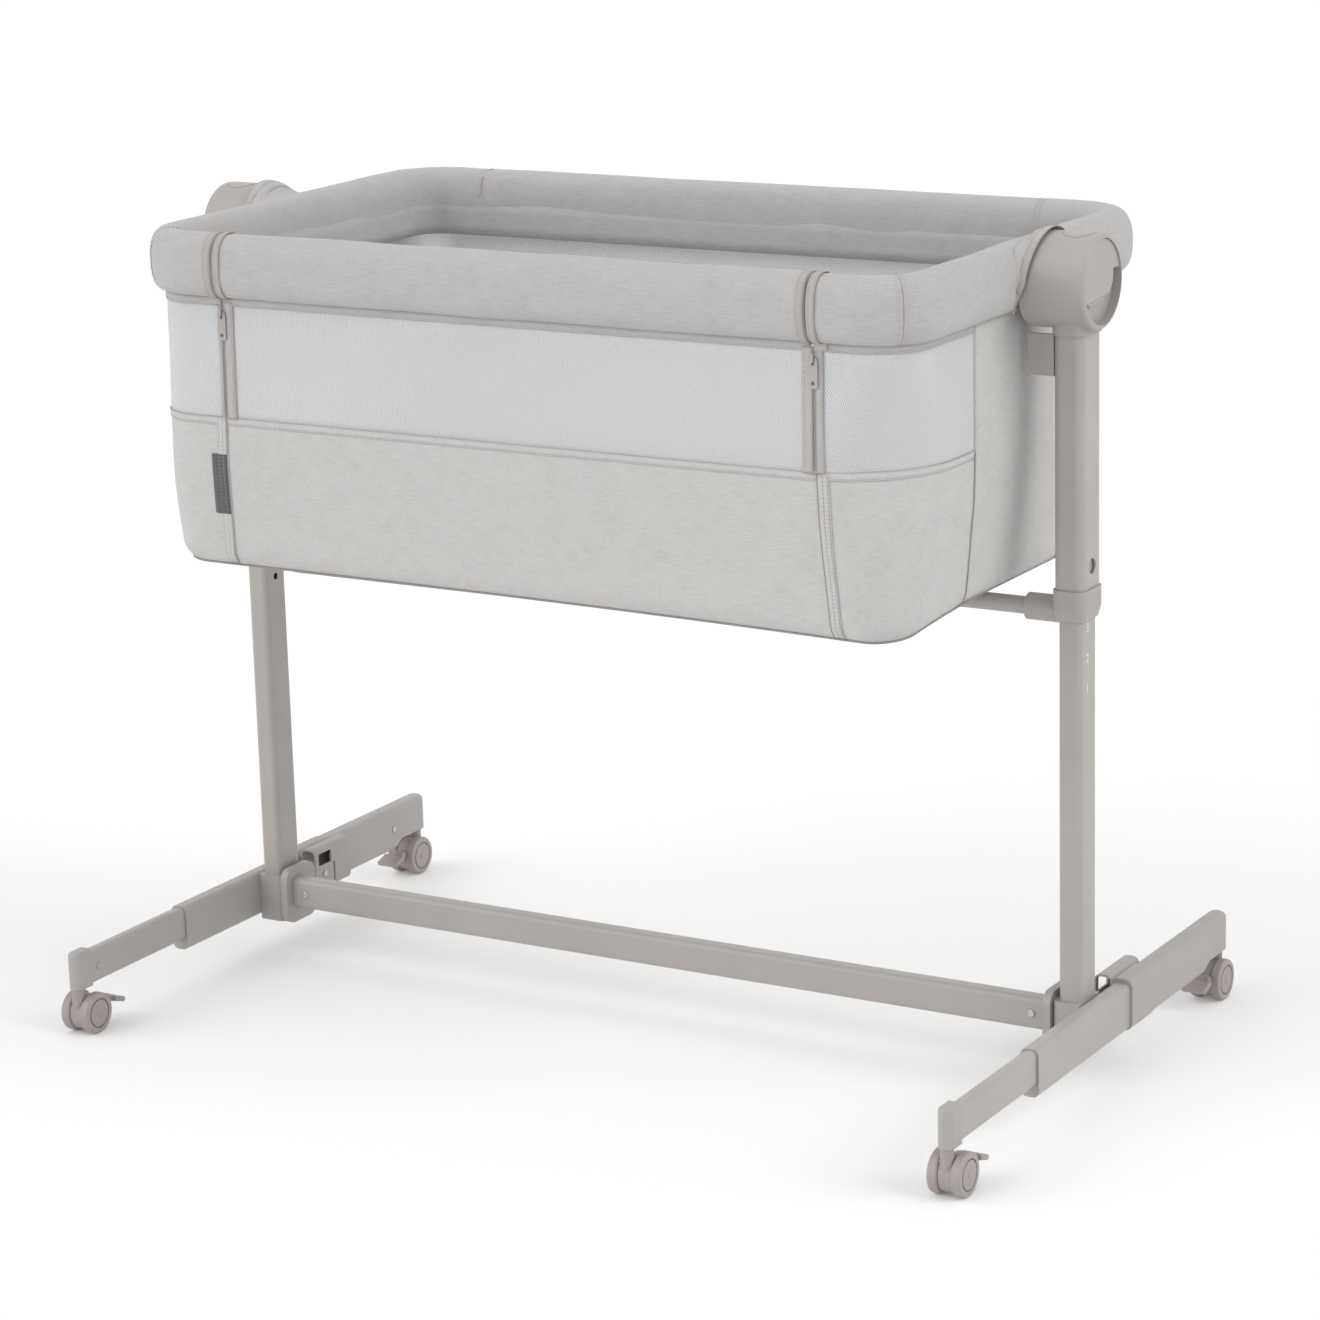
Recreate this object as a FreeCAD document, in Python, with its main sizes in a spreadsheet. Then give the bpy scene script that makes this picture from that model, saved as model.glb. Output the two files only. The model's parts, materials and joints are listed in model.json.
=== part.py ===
import FreeCAD, Part
import math
import os
import Sketcher
from FreeCAD import Placement, Rotation, Vector

# Bedside sleeper crib: a padded basket with a drop side hangs between two telescoping
# posts that stand on wheeled feet.  Millimetres, +Z up, the origin on the floor below
# the middle of the crib.  X runs along the crib and Y from the drop side to the back.

doc = FreeCAD.newDocument("bedside_crib")
sheet = doc.addObject("Spreadsheet::Sheet", "sizes")


class Size:
    """A length that knows both its number and the sheet expression it comes from."""

    def __init__(self, text, number):
        self.text = text
        self.number = float(number)

    def __float__(self):
        return self.number

    def __neg__(self):
        return Size("(-1 * " + self.text + ")", -self.number)

    def __add__(self, other):
        other = asSize(other)
        return Size("(" + self.text + " + " + other.text + ")", self.number + other.number)

    __radd__ = __add__

    def __sub__(self, other):
        return self + (-asSize(other))

    def __rsub__(self, other):
        return asSize(other) + (-self)

    def __mul__(self, other):
        other = asSize(other)
        return Size("(" + self.text + " * " + other.text + ")", self.number * other.number)

    __rmul__ = __mul__

    def __truediv__(self, other):
        other = asSize(other)
        return Size("(" + self.text + " / " + other.text + ")", self.number / other.number)


def asSize(value):
    if isinstance(value, Size):
        return value
    return Size(repr(float(value)), value)


class Sizes:
    """The driving dimensions, one row of the sheet each: its name and its value."""

    def __init__(self, named):
        for row, (alias, value) in enumerate(named.items(), 1):
            sheet.set("A" + str(row), alias)
            sheet.set("B" + str(row), str(value))
            sheet.setAlias("B" + str(row), alias)
            setattr(self, alias, Size("sizes." + alias, value))


dimensions = {
    # feet: a flat oval tube with a telescoping front leg and a moulded rear leg
    "footTubeWidth": 18, "footTubeHeight": 45, "footTubeRound": 6, "tubeWall": 1.5,
    "footTubeFront": -128, "footTubeBack": 116, "slideFit": 0.3, "seatFit": 0.1, "legWidth": 13.6,
    "legRound": 5, "legEngaged": 44, "legLinerLength": 24, "casterY": 291.5,
    "capWidth": 15, "capTail": 14, "capPlug": 22, "rearLegWidth": 19, "rearLegHeight": 47,
    "rearLegRound": 7, "sleeveWall": 2.4, "boxWidth": 16, "boxHeight": 42, "boxWall": 2,
    "windowLength": 22, "windowHeight": 13, "tongueSlotHeight": 21, "tongueSlotWidth": 2.4,
    "rivetDiameter": 6, "rivetHeight": 1.2, "rearScrewBack": 53.5, "legRise": 4.5, "capLip": 0.5,
    "capAbove": 4, "rearLegDrop": 22, "reliefGap": 0.5, "reliefStart": 59.5, "reliefEnd": 37.5,
    "sleeveGrip": 48, "sleeveOver": 2, "boxOver": 14, "boxRise": 4.5, "windowIn": 6, "windowUp": 11,
    "tongueSlotIn": 33, "tongueSlotDown": 7, "rivetIn": 16, "rivetDown": 5, "rearBoreLength": 106,

    # casters: a hooded housing between two wheels, a brake pedal behind them
    "wheelDiameter": 40, "wheelWidth": 9.6, "housingWidth": 12, "wheelGap": 0.4, "casterTrail": 11,
    "axleDiameter": 5, "hoodDiameter": 35, "socketDiameter": 12.4, "stemDiameter": 8,
    "stemLength": 18, "ventDiameter": 29, "ventDepth": 1.6, "ventWidth": 1.5, "pedalWidth": 25,
    "pedalLength": 16.5, "earThick": 2.4, "pedalEye": 9, "pedalGap": 1.2, "pedalThick": 5,
    "pedalPivotReach": 24.6, "pedalPinDiameter": 4, "socketRise": 5.4, "socketGap": 0.6,
    "pedalUp": 5.5,

    # posts, the bar between the feet and what seats them
    "postY": 18, "lowerPostWidth": 23, "lowerPostDepth": 35, "lowerPostRound": 6, "baseWall": 4.5,
    "bracketThick": 7.4, "bracketDepth": 50, "bracketRound": 12, "barWidth": 18, "barHeight": 31,
    "barRound": 5, "barPlug": 26, "glideHeight": 22, "lockHoleDiameter": 7, "levelPitch": 28,
    "levels": 6, "levelShown": 5, "postSideGap": 0.5, "lowerPostDrop": 18.5, "baseDrop": 26.5,
    "baseHigh": 48, "bracketDrop": 27.5, "bracketHigh": 57, "barAhead": 6, "barRise": 4,
    "postSpare": 52,

    # sliders: outer post, collar with the socket of the cross bar, and the hub
    "outerPostWidth": 29, "outerPostDepth": 42, "outerPostRound": 8, "outerPostWall": 1.8,
    "collarTaper": 10, "collarWall": 2, "collarSeat": 7, "levelHoleDiameter": 14,
    "crossBarDiameter": 16, "cupBore": 20.8, "cupDiameter": 24.6, "crossPinDiameter": 5,
    "pinFit": 0.2, "pivotPlay": 4.6, "hubDiameter": 85, "hubRound": 4.5, "neckWall": 2,
    "recessDepth": 8.5, "recessDiameter": 76, "coverThick": 3, "handleThick": 3, "handleWidth": 44,
    "handleHeight": 30, "handleLow": 21, "coverLow": 16, "gripStep": 9, "buttonDiameter": 30,
    "buttonThick": 8, "buttonPocket": 13.4, "pivotPinDiameter": 8, "trunnionWidth": 32,
    "trunnionHeight": 24, "tiltRoom": 4.5, "gussetThick": 4, "gussetWidth": 24, "gussetDeep": 30,
    "postReach": 27, "barDrop": 15, "collarDrop": 6, "collarHigh": 28, "levelHoleUp": 20,
    "lockUp": 16, "cupReach": 20, "hubStandoff": 19, "hubLength": 64, "pivotIn": 12,
    "tongueNose": 9, "hubDrop": 4, "postRise": 20, "neckDeep": 46, "gussetHigh": 37,
    "gussetAhead": 17, "buttonOut": 3,

    # basket: rim frame, padded roll, fabric walls, floor and mattress
    "frameHalfX": 385, "frameHalfY": 222, "frameCorner": 42, "frameTube": 18, "frameZ": 742,
    "rollWidth": 49, "rollHeight": 62, "rollFit": 0.4, "hubClear": 5.5, "wallTopRound": 46,
    "wallSeamRound": 105, "wallLowRound": 105, "basketBottom": 457, "bottomRound": 24,
    "wallThick": 4, "boardThick": 6, "boardGap": 3, "mattressThick": 34, "mattressGap": 5,
    "mattressRound": 11, "stripWidth": 24, "stripThick": 6.5, "stripInset": 20, "rollLift": 1,
    "notchReach": 13, "wallTopOutX": 7, "wallTopOutY": 8.5, "wallSeamOutX": 7, "wallSeamOutY": 11,
    "wallLowInX": 5, "wallLowInY": 1, "lowerWallHigh": 143, "stripShort": 110,

    # drop side between the zips
    "panelThick": 3, "hingeGap": 1, "railNose": 12, "railNoseIn": 18, "seatThick": 6.2,
    "seatStop": 0.8, "seatDiameter": 27, "seatPlug": 24, "mouthRise": 1, "sliderWidth": 6.6,
    "sliderHeight": 9, "sliderThick": 4.4, "bridgeWidth": 2, "bridgeReach": 3.2, "bridgeBand": 1,
    "pullWidth": 8.5, "pullLength": 26, "pullThick": 1.2, "pullBore": 3.6, "screwHead": 7,
    "screwHeadHigh": 1.6, "screwShank": 3.5, "screwShankLong": 6, "cornerStay": 40, "zipGap": 8,
    "zipStop": 7.6,
}
s = Sizes(dimensions)

# heights of the feet follow from the wheels up
s.socketTop = s.wheelDiameter + s.socketRise
s.pedalPivotZ = s.wheelDiameter / 2 + s.pedalUp
s.capBottom = s.socketTop + s.socketGap
s.legHeight = s.footTubeHeight - s.tubeWall * 2 - s.legRise * 2
s.capHigh = s.legHeight + s.capAbove
s.legAxisZ = s.capBottom + s.legHeight / 2 + s.capLip
s.capTop = s.capBottom + s.capHigh
s.footAxisZ = s.legAxisZ - s.legRise
s.rearLegBottom = s.footAxisZ - s.rearLegDrop
s.rearReliefBottom = s.capBottom + s.reliefGap
s.boxAxisZ = s.footAxisZ + s.boxRise
s.windowZ = s.boxAxisZ + s.windowUp
s.tongueSlotZ = s.boxAxisZ - s.tongueSlotDown
s.rivetZ = s.boxAxisZ - s.rivetDown
s.lowerPostBottom = s.footAxisZ - s.lowerPostDrop
s.baseBottom = s.footAxisZ - s.baseDrop
s.baseTop = s.baseBottom + s.baseHigh
s.bracketBottom = s.footAxisZ - s.bracketDrop
s.bracketTop = s.bracketBottom + s.bracketHigh
s.barZ = s.footAxisZ + s.barRise

# the rear leg holds the foot tube's end and reaches its caster
s.sleeveFront = s.footTubeBack - s.sleeveGrip
s.sleeveBack = s.footTubeBack + s.sleeveOver
s.boxBack = s.sleeveBack + s.boxOver
s.windowFront = s.sleeveFront + s.windowIn
s.tongueSlotY = s.sleeveFront + s.tongueSlotIn
s.rivetY = s.sleeveFront + s.rivetIn
s.rearBoreEnd = s.footTubeBack + s.rearBoreLength
s.rearReliefStart = s.casterY - s.reliefStart
s.rearReliefEnd = s.casterY - s.reliefEnd
s.barY = s.postY - s.barAhead
s.gussetY = s.postY - s.gussetAhead

# heights of the basket and of what carries it
s.rollZ = s.frameZ + s.rollLift
s.wallTop = s.rollZ - s.rollHeight / 2 - s.rollFit
s.hubZ = s.frameZ - s.hubDrop
s.outerPostTop = s.hubZ + s.postRise
s.neckBottom = s.hubZ - s.neckDeep
s.gussetBottom = s.neckBottom - s.gussetHigh
s.zipTop = s.wallTop - s.zipStop
s.seamZ = s.basketBottom + s.lowerWallHigh
s.crossBarZ = s.basketBottom - s.barDrop
s.collarBottom = s.crossBarZ - s.collarDrop
s.collarTop = s.collarBottom + s.collarHigh
s.levelHoleZ = s.collarTop + s.levelHoleUp
s.lockZ = s.levelHoleZ + s.lockUp
s.lowerPostTop = s.lockZ + s.postSpare

# across the crib, from the rim frame out to the feet
s.wallTopHalfX = s.frameHalfX + s.wallTopOutX
s.wallTopHalfY = s.frameHalfY + s.wallTopOutY
s.wallSeamHalfX = s.frameHalfX + s.wallSeamOutX
s.wallSeamHalfY = s.frameHalfY + s.wallSeamOutY
s.wallLowHalfX = s.frameHalfX - s.wallLowInX
s.wallLowHalfY = s.frameHalfY - s.wallLowInY
s.stripHalfLength = s.wallLowHalfX - s.stripShort
s.flapHalfX = s.frameHalfX - s.frameCorner - s.cornerStay
s.gapHalfX = s.flapHalfX + s.zipGap
s.hubNotchX = s.frameHalfX + s.notchReach
s.hubInnerX = s.frameHalfX + s.hubStandoff
s.hubOuterX = s.hubInnerX + s.hubLength
s.pivotX = s.hubInnerX + s.pivotIn
s.trunnionEnd = s.pivotX + s.tongueNose
s.cupMouthX = s.pivotX - s.cupReach
s.postX = s.pivotX + s.postReach
s.buttonX = s.postX + s.buttonOut
s.footX = s.postX + s.lowerPostWidth / 2 + s.postSideGap + s.footTubeWidth / 2

footFace = s.footX - s.footTubeWidth / 2          # inner face of the foot tube
latchFace = footFace - s.sleeveWall - s.boxWidth  # inner face of the rear leg's latch box
hubRadius = s.hubDiameter / 2
nodes = []


# ---------------------------------------------------------------- building helpers

def bind(obj, **expressions):
    for prop, size in expressions.items():
        obj.setExpression(prop.replace("__", "."), asSize(size).text)


def place(obj, x, y, z, turn=None):
    obj.Placement = Placement(Vector(float(x), float(y), float(z)), turn or Rotation())
    bind(obj, Placement__Base__x=x, Placement__Base__y=y, Placement__Base__z=z)
    return obj


def node(obj, label):
    obj.Label = label
    nodes.append(obj)
    return obj


def add(kind):
    return doc.addObject(kind, kind.split("::")[1])


alongX = Rotation(Vector(0, 1, 0), 90)            # turns a piece drawn along Z to lie along X
alongY = Rotation(Vector(1, 0, 0), -90)
pedalSlope = 18                                   # degrees that the brake pedals slope down


def box(x, y, z, length, width, height):
    obj = add("Part::Box")
    bind(obj, Length=length, Width=width, Height=height)
    return place(obj, x, y, z)


def midBox(x, y, z, length, width, height):
    """A box given by its middle."""
    return box(x - asSize(length) / 2, y - asSize(width) / 2, z - asSize(height) / 2, length, width, height)


def rod(x, y, z, diameter, length, turn=None):
    obj = add("Part::Cylinder")
    bind(obj, Radius=asSize(diameter) / 2, Height=length)
    return place(obj, x, y, z, turn)


def fuse(*parts):
    obj = add("Part::MultiFuse")
    obj.Shapes = list(parts)
    obj.Refine = True
    return obj


def common(first, second):
    obj = add("Part::MultiCommon")
    obj.Shapes = [first, second]
    return obj


def cut(base, *tools):
    obj = add("Part::Cut")
    obj.Base = base
    obj.Tool = tools[0] if len(tools) == 1 else fuse(*tools)
    return obj


def mirrored(obj, label):
    return node(flipped(obj), label)


def pair(obj, label):
    """Both sides' pieces as one node, for small parts that ride together."""
    return node(group(obj, flipped(obj)), label)


def rounded(obj, radius, wanted):
    """Rounds the edges that wanted(edge) picks."""
    doc.recompute()
    done = add("Part::Fillet")
    done.Base = obj
    picked = [(i + 1, float(radius), float(radius)) for i, e in enumerate(obj.Shape.Edges) if wanted(e)]
    done.Edges = picked
    return done


def drawRoundRect(sketch, width, height, corner):
    """A rounded rectangle about the sketch's origin, tied to the sheet."""
    w, h, r = float(width) / 2, float(height) / 2, float(corner)
    corners = ((w, -h), (w, h), (-w, h), (-w, -h))
    inside = [Vector(math.copysign(w - r, x), math.copysign(h - r, y), 0) for x, y in corners]
    first = sketch.GeometryCount
    for i in range(4):
        away = math.pi / 2 * (i - 1)
        outward = Vector(math.cos(away), math.sin(away), 0) * r
        sketch.addGeometry(Part.LineSegment(inside[i - 1] + outward, inside[i] + outward))
        circle = Part.Circle(inside[i], Vector(0, 0, 1), r)
        sketch.addGeometry(Part.ArcOfCircle(circle, away, away + math.pi / 2))
    rule = Sketcher.Constraint
    for i in range(4):
        line, arc, after = first + 2 * i, first + 2 * i + 1, first + (2 * i + 2) % 8
        sketch.addConstraint(rule("Tangent", line, 2, arc, 1))
        sketch.addConstraint(rule("Tangent", arc, 2, after, 1))
        sketch.addConstraint(rule("Horizontal" if i % 2 == 0 else "Vertical", line))
        if i:
            sketch.addConstraint(rule("Equal", first + 1, arc))
    sketch.addConstraint(rule("Symmetric", first, 1, first + 4, 1, -1, 1))
    for kind, size, ends in (("Radius", corner, (first + 1, r)),
                             ("DistanceX", width, (first + 6, 1, first + 2, 1, 2 * w)),
                             ("DistanceY", height, (first, 1, first + 4, 1, 2 * h))):
        at = sketch.addConstraint(rule(kind, *ends))
        sketch.setExpression("Constraints[" + str(at) + "]", asSize(size).text)


def planeOf(body, role):
    return next(o for o in body.Origin.OriginFeatures if o.Role == role)


def sketchIn(body):
    sketch = body.newObject("Sketcher::SketchObject", "profile")
    sketch.AttachmentSupport = [(planeOf(body, "XY_Plane"), "")]
    sketch.MapMode = "FlatFace"
    return sketch


def bar(x, y, z, turn, width, height, corner, length, wall=None):
    """A rounded bar, or a tube where a wall is given, drawn along Z and turned into place."""
    body = doc.addObject("PartDesign::Body", "bar")
    sketch = sketchIn(body)
    drawRoundRect(sketch, width, height, corner)
    if wall is not None:
        wall = asSize(wall)
        drawRoundRect(sketch, width - 2 * wall, height - 2 * wall, corner - wall)
    pad = body.newObject("PartDesign::Pad", "pad")
    pad.Profile = sketch
    bind(pad, Length=length)
    return place(body, x, y, z, turn)


def section(z, halfX, halfY, corner):
    """A level outline of the basket at one height."""
    sketch = add("Sketcher::SketchObject")
    drawRoundRect(sketch, 2 * asSize(halfX), 2 * asSize(halfY), corner)
    return place(sketch, 0, s.postY, z)


def loft(*sections):
    obj = add("Part::Loft")
    obj.Sections = list(sections)
    obj.Solid = True
    obj.Ruled = True
    return obj


def group(*parts):
    obj = add("Part::Compound")
    obj.Links = list(parts)
    return obj


def flipped(obj, normal=Vector(1, 0, 0)):
    """The same piece on the other side of the crib, or at its other end."""
    other = add("Part::Mirroring")
    other.Source = obj
    other.Normal = normal
    return other


def madeOf(shape, label=None):
    obj = add("Part::Feature")
    obj.Shape = shape
    return node(obj, label) if label else obj


def outlineSolid(points, away):
    """A prism on an outline of points."""
    wire = Part.makePolygon([Vector(*p) for p in points] + [Vector(*points[0])])
    return Part.Face(wire).extrude(away)


def screw(x, y, z, turn):
    """A dome head on the surface and its shank below it, pointing along the turned -Z."""
    head = rod(x, y, z, s.screwHead, s.screwHeadHigh, turn)
    back = turn.multVec(Vector(0, 0, -1))
    shank = rod(x + back.x * s.screwShankLong, y + back.y * s.screwShankLong,
                z + back.z * s.screwShankLong, s.screwShank, s.screwShankLong, turn)
    edge = rounded(head, s.screwHeadHigh * 0.55, lambda e: len(e.Vertexes) == 1
                   and (e.CenterOfMass - Vector(float(x), float(y), float(z))).Length > 1)
    return fuse(edge, shank)


def screwHole(x, y, z, turn, deep):
    back = turn.multVec(Vector(0, 0, -1))
    wide = s.screwShank + 2 * s.slideFit
    return rod(x + back.x * deep, y + back.y * deep, z + back.z * deep, wide, deep + 1, turn)


def upright(e, length=0):
    """True for a straight edge along Z."""
    line = [v.Point for v in e.Vertexes]
    if len(line) != 2 or e.Curve.TypeId != "Part::GeomLine":
        return False
    d = line[1] - line[0]
    return abs(d.x) + abs(d.y) < 1e-6 and abs(d.z) > length


# ---------------------------------------------------------------- feet

facingIn = Rotation(Vector(0, 1, 0), -90)         # a screw head that faces the middle
facingFront = Rotation(Vector(1, 0, 0), 90)       # a screw head that faces the drop side
facingDown = Rotation(Vector(1, 0, 0), 180)


def footTube():
    tube = bar(s.footX, s.footTubeFront, s.footAxisZ, alongY, s.footTubeWidth, s.footTubeHeight,
               s.footTubeRound, s.footTubeBack - s.footTubeFront, s.tubeWall)
    hole = screwHole(s.footX, s.postY, s.footAxisZ - s.footTubeHeight / 2, facingDown, s.tubeWall + 1)
    return node(cut(tube, hole), "right_foot_tube")


def legLiner():
    """The plastic guide in the mouth of the foot tube; the front leg slides in it."""
    outer = bar(s.footX, s.footTubeFront, s.footAxisZ, alongY,
                s.footTubeWidth - 2 * s.tubeWall - 2 * s.seatFit,
                s.footTubeHeight - 2 * s.tubeWall - 2 * s.seatFit,
                s.footTubeRound - s.tubeWall - s.seatFit, s.legLinerLength)
    bore = bar(s.footX, s.footTubeFront - 1, s.legAxisZ, alongY, s.legWidth + 2 * s.slideFit,
               s.legHeight + 2 * s.slideFit, s.legRound + s.slideFit, s.legLinerLength + 2)
    return pair(cut(outer, bore), "leg_liners")


def frontLeg():
    start = -s.casterY + s.capTail
    tube = bar(s.footX, start, s.legAxisZ, alongY, s.legWidth, s.legHeight, s.legRound,
               s.footTubeFront + s.legEngaged - start, s.tubeWall)
    hole = screwHole(s.footX - s.legWidth / 2, start + s.capPlug / 2, s.legAxisZ, facingIn, s.tubeWall + 1)
    return node(cut(tube, hole), "right_front_leg")


def frontCap():
    """End cap: round nose about the caster's stem, a plug that fills the end of the leg."""
    high = s.capTop - s.capBottom
    nose = rod(s.footX, -s.casterY, s.capBottom, s.capWidth, high)
    tail = box(s.footX - s.capWidth / 2, -s.casterY, s.capBottom, s.capWidth, s.capTail, high)
    skin = rounded(fuse(nose, tail), 4, lambda e: e.CenterOfMass.z > float(s.capTop) - 0.5
                   and e.CenterOfMass.y < float(s.capTail - s.casterY) - 0.5)
    step = box(s.footX - s.capWidth, -s.casterY + s.capWidth / 2, s.capBottom - 1, 2 * s.capWidth,
               s.capTail, s.legAxisZ - s.legHeight / 2 - s.capBottom)
    plug = bar(s.footX, -s.casterY + s.capTail - 0.5, s.legAxisZ, alongY,
               s.legWidth - 2 * s.tubeWall - 2 * s.seatFit, s.legHeight - 2 * s.tubeWall - 2 * s.seatFit,
               s.legRound - s.tubeWall - s.seatFit, s.capPlug)
    stem = rod(s.footX, -s.casterY, s.capBottom - 1, s.stemDiameter + 2 * s.slideFit, s.stemLength + 2)
    pilot = screwHole(s.footX - s.legWidth / 2, -s.casterY + s.capTail + s.capPlug / 2, s.legAxisZ,
                      facingIn, s.screwShankLong + 0.5)
    fixing = screw(s.footX - s.legWidth / 2, -s.casterY + s.capTail + s.capPlug / 2, s.legAxisZ, facingIn)
    return node(group(cut(fuse(cut(skin, step), plug), stem, pilot), fixing), "right_front_cap")


def rearLeg():
    """Moulded rear leg: a sleeve over the foot tube, a latch box on its inner side, a relief
    over the caster, and an open bore as far as the foot tube's own inside."""
    top = s.rearLegBottom + s.rearLegHeight
    middle = s.rearLegBottom + s.rearLegHeight / 2
    beam = box(s.footX - s.rearLegWidth / 2, s.sleeveBack - 6, s.rearLegBottom, s.rearLegWidth,
               s.casterY - s.sleeveBack + 6, s.rearLegHeight)
    nose = rod(s.footX, s.casterY, s.rearLegBottom, s.rearLegWidth, s.rearLegHeight)
    beam = rounded(fuse(beam, nose), s.rearLegRound * 0.8,
                   lambda e: abs(e.CenterOfMass.z - float(top)) < 0.1
                   and e.CenterOfMass.y > float(s.sleeveBack)
                   or abs(e.CenterOfMass.z - float(s.rearLegBottom)) < 0.1
                   and float(s.sleeveBack) < e.CenterOfMass.y < float(s.casterY) - 8)
    low, high = float(s.rearLegBottom) - 1, float(s.rearReliefBottom)
    y0, y1, end = float(s.rearReliefStart), float(s.rearReliefEnd), float(s.casterY) + 40
    x0, across = float(s.footX - s.rearLegWidth), 2 * float(s.rearLegWidth)
    relief = madeOf(outlineSolid([(x0, y0, low), (x0, y1, high), (x0, end, high), (x0, end, low)],
                                 Vector(across, 0, 0)))
    sleeve = bar(s.footX, s.sleeveFront, middle, alongY,
                 s.footTubeWidth + 2 * s.sleeveWall, s.footTubeHeight + 2 * s.sleeveWall,
                 s.footTubeRound + s.sleeveWall, s.sleeveBack - s.sleeveFront)
    sleeve = rounded(sleeve, 2, lambda e: e.CenterOfMass.y > float(s.sleeveBack) - 0.1)
    latchBox = bar((latchFace + footFace) / 2, s.sleeveFront, s.boxAxisZ, alongY, footFace - latchFace,
                   s.boxHeight + 2 * s.boxWall, s.boxWidth / 2 - 1, s.boxBack - s.sleeveFront)
    latchBox = rounded(latchBox, 3, lambda e: e.CenterOfMass.y > float(s.boxBack) - 0.1)
    channel = bar(latchFace + (s.boxWidth + s.boxWall) / 2, s.sleeveFront - 1, s.boxAxisZ, alongY,
                  s.boxWidth - s.boxWall, s.boxHeight, s.boxWidth / 2 - 2 * s.boxWall,
                  s.boxBack - s.boxWall - s.sleeveFront + 1)
    bore = bar(s.footX, s.sleeveFront - 1, s.footAxisZ, alongY, s.footTubeWidth + 2 * s.seatFit,
               s.footTubeHeight + 2 * s.seatFit, s.footTubeRound + s.seatFit,
               s.footTubeBack - s.sleeveFront + 1 + 2 * s.slideFit)
    hollow = bar(s.footX, s.footTubeBack - 1, s.footAxisZ, alongY, s.footTubeWidth - 2 * s.tubeWall,
                 s.footTubeHeight - 2 * s.tubeWall, s.footTubeRound - s.tubeWall,
                 s.rearBoreEnd - s.footTubeBack + 1)
    window = box(latchFace - 1, s.windowFront, s.windowZ - s.windowHeight / 2, s.boxWall + 2,
                 s.windowLength, s.windowHeight)
    slot = midBox(latchFace + s.boxWall / 2, s.tongueSlotY, s.tongueSlotZ, s.boxWall + 2,
                  s.tongueSlotWidth, s.tongueSlotHeight)
    stem = rod(s.footX, s.casterY, s.rearReliefBottom - 1, s.stemDiameter + 2 * s.slideFit, s.stemLength + 2)
    rivetHole = rod(latchFace - 1, s.rivetY, s.rivetZ, s.screwShank + 2 * s.slideFit, s.boxWall + 2, alongX)
    screwRoom = screwHole(s.footX - s.rearLegWidth / 2, s.casterY - s.rearScrewBack, middle, facingIn,
                          s.screwShankLong + 0.5)
    body = fuse(cut(beam, relief), sleeve, latchBox)
    return node(cut(body, channel, bore, hollow, window, slot, stem, rivetHole, screwRoom), "right_rear_leg")


# ---------------------------------------------------------------- casters

def fourTimes(obj, label):
    """A caster's piece, drawn at the right rear, at all four ends of the feet."""
    front = flipped(obj, Vector(0, 1, 0))
    node(obj, "right_rear_caster_" + label)
    node(front, "right_front_caster_" + label)
    mirrored(obj, "left_rear_caster_" + label)
    mirrored(front, "left_front_caster_" + label)


def casterHousing():
    """Hood between the wheels, socket and stem at the end of the foot, and the pedal's eye.
    The wheels trail towards the middle of the foot."""
    x, stemY, wheelY, axleZ = s.footX, s.casterY, s.casterY - s.casterTrail, s.wheelDiameter / 2
    width = s.housingWidth
    pinY = wheelY - s.pedalPivotReach
    hood = rod(x - width / 2, wheelY, axleZ, s.hoodDiameter, width, alongX)
    nose = box(x - width / 2, stemY - width / 2, axleZ - 4, width, width, s.socketTop - 3 - axleZ)
    nose = rounded(nose, 5.5, lambda e: upright(e) and e.CenterOfMass.y > float(stemY) + 1)
    bridge = midBox(x, (stemY + wheelY) / 2, axleZ + 7, width, s.casterTrail + 6, 16)
    tail = midBox(x, pinY + 6, s.pedalPivotZ - 2, width, 14, 9)
    socket = rod(x, stemY, s.socketTop - 8, s.socketDiameter, 8)
    stem = rod(x, stemY, s.socketTop - 4, s.stemDiameter, s.stemLength + 4)
    eye = rod(x - width / 2, pinY, s.pedalPivotZ, s.pedalEye, width, alongX)
    pin = rod(x - s.pedalWidth, pinY, s.pedalPivotZ, s.pedalPinDiameter + s.pinFit, 2 * s.pedalWidth, alongX)
    axle = rod(x - width, wheelY, axleZ, s.axleDiameter + s.pinFit, 2 * width, alongX)
    fourTimes(cut(fuse(hood, nose, bridge, tail, eye, socket, stem), pin, axle), "housing")


def casterWheels():
    """Both wheels and the axle they turn on; the outer faces have a ring groove."""
    wheelY, axleZ = s.casterY - s.casterTrail, s.wheelDiameter / 2
    near = s.housingWidth / 2 + s.wheelGap
    wheels = []
    for face in (-1, 1):
        middle = s.footX + face * (near + s.wheelWidth / 2)
        wheel = rod(middle - s.wheelWidth / 2, wheelY, axleZ, s.wheelDiameter, s.wheelWidth, alongX)
        wheel = rounded(wheel, 2.2, lambda e: len(e.Vertexes) == 1)
        grooveX = s.footX + face * (near + s.wheelWidth - s.ventDepth / 2) - s.ventDepth / 2
        groove = cut(rod(grooveX, wheelY, axleZ, s.ventDiameter, s.ventDepth, alongX),
                     rod(grooveX, wheelY, axleZ, s.ventDiameter - 2 * s.ventWidth, s.ventDepth, alongX))
        wheels.append(cut(wheel, groove))
    reach = near + s.wheelWidth / 2
    axle = rod(s.footX - reach, wheelY, axleZ, s.axleDiameter, 2 * reach, alongX)
    fourTimes(fuse(*wheels, axle), "wheels")


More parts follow.
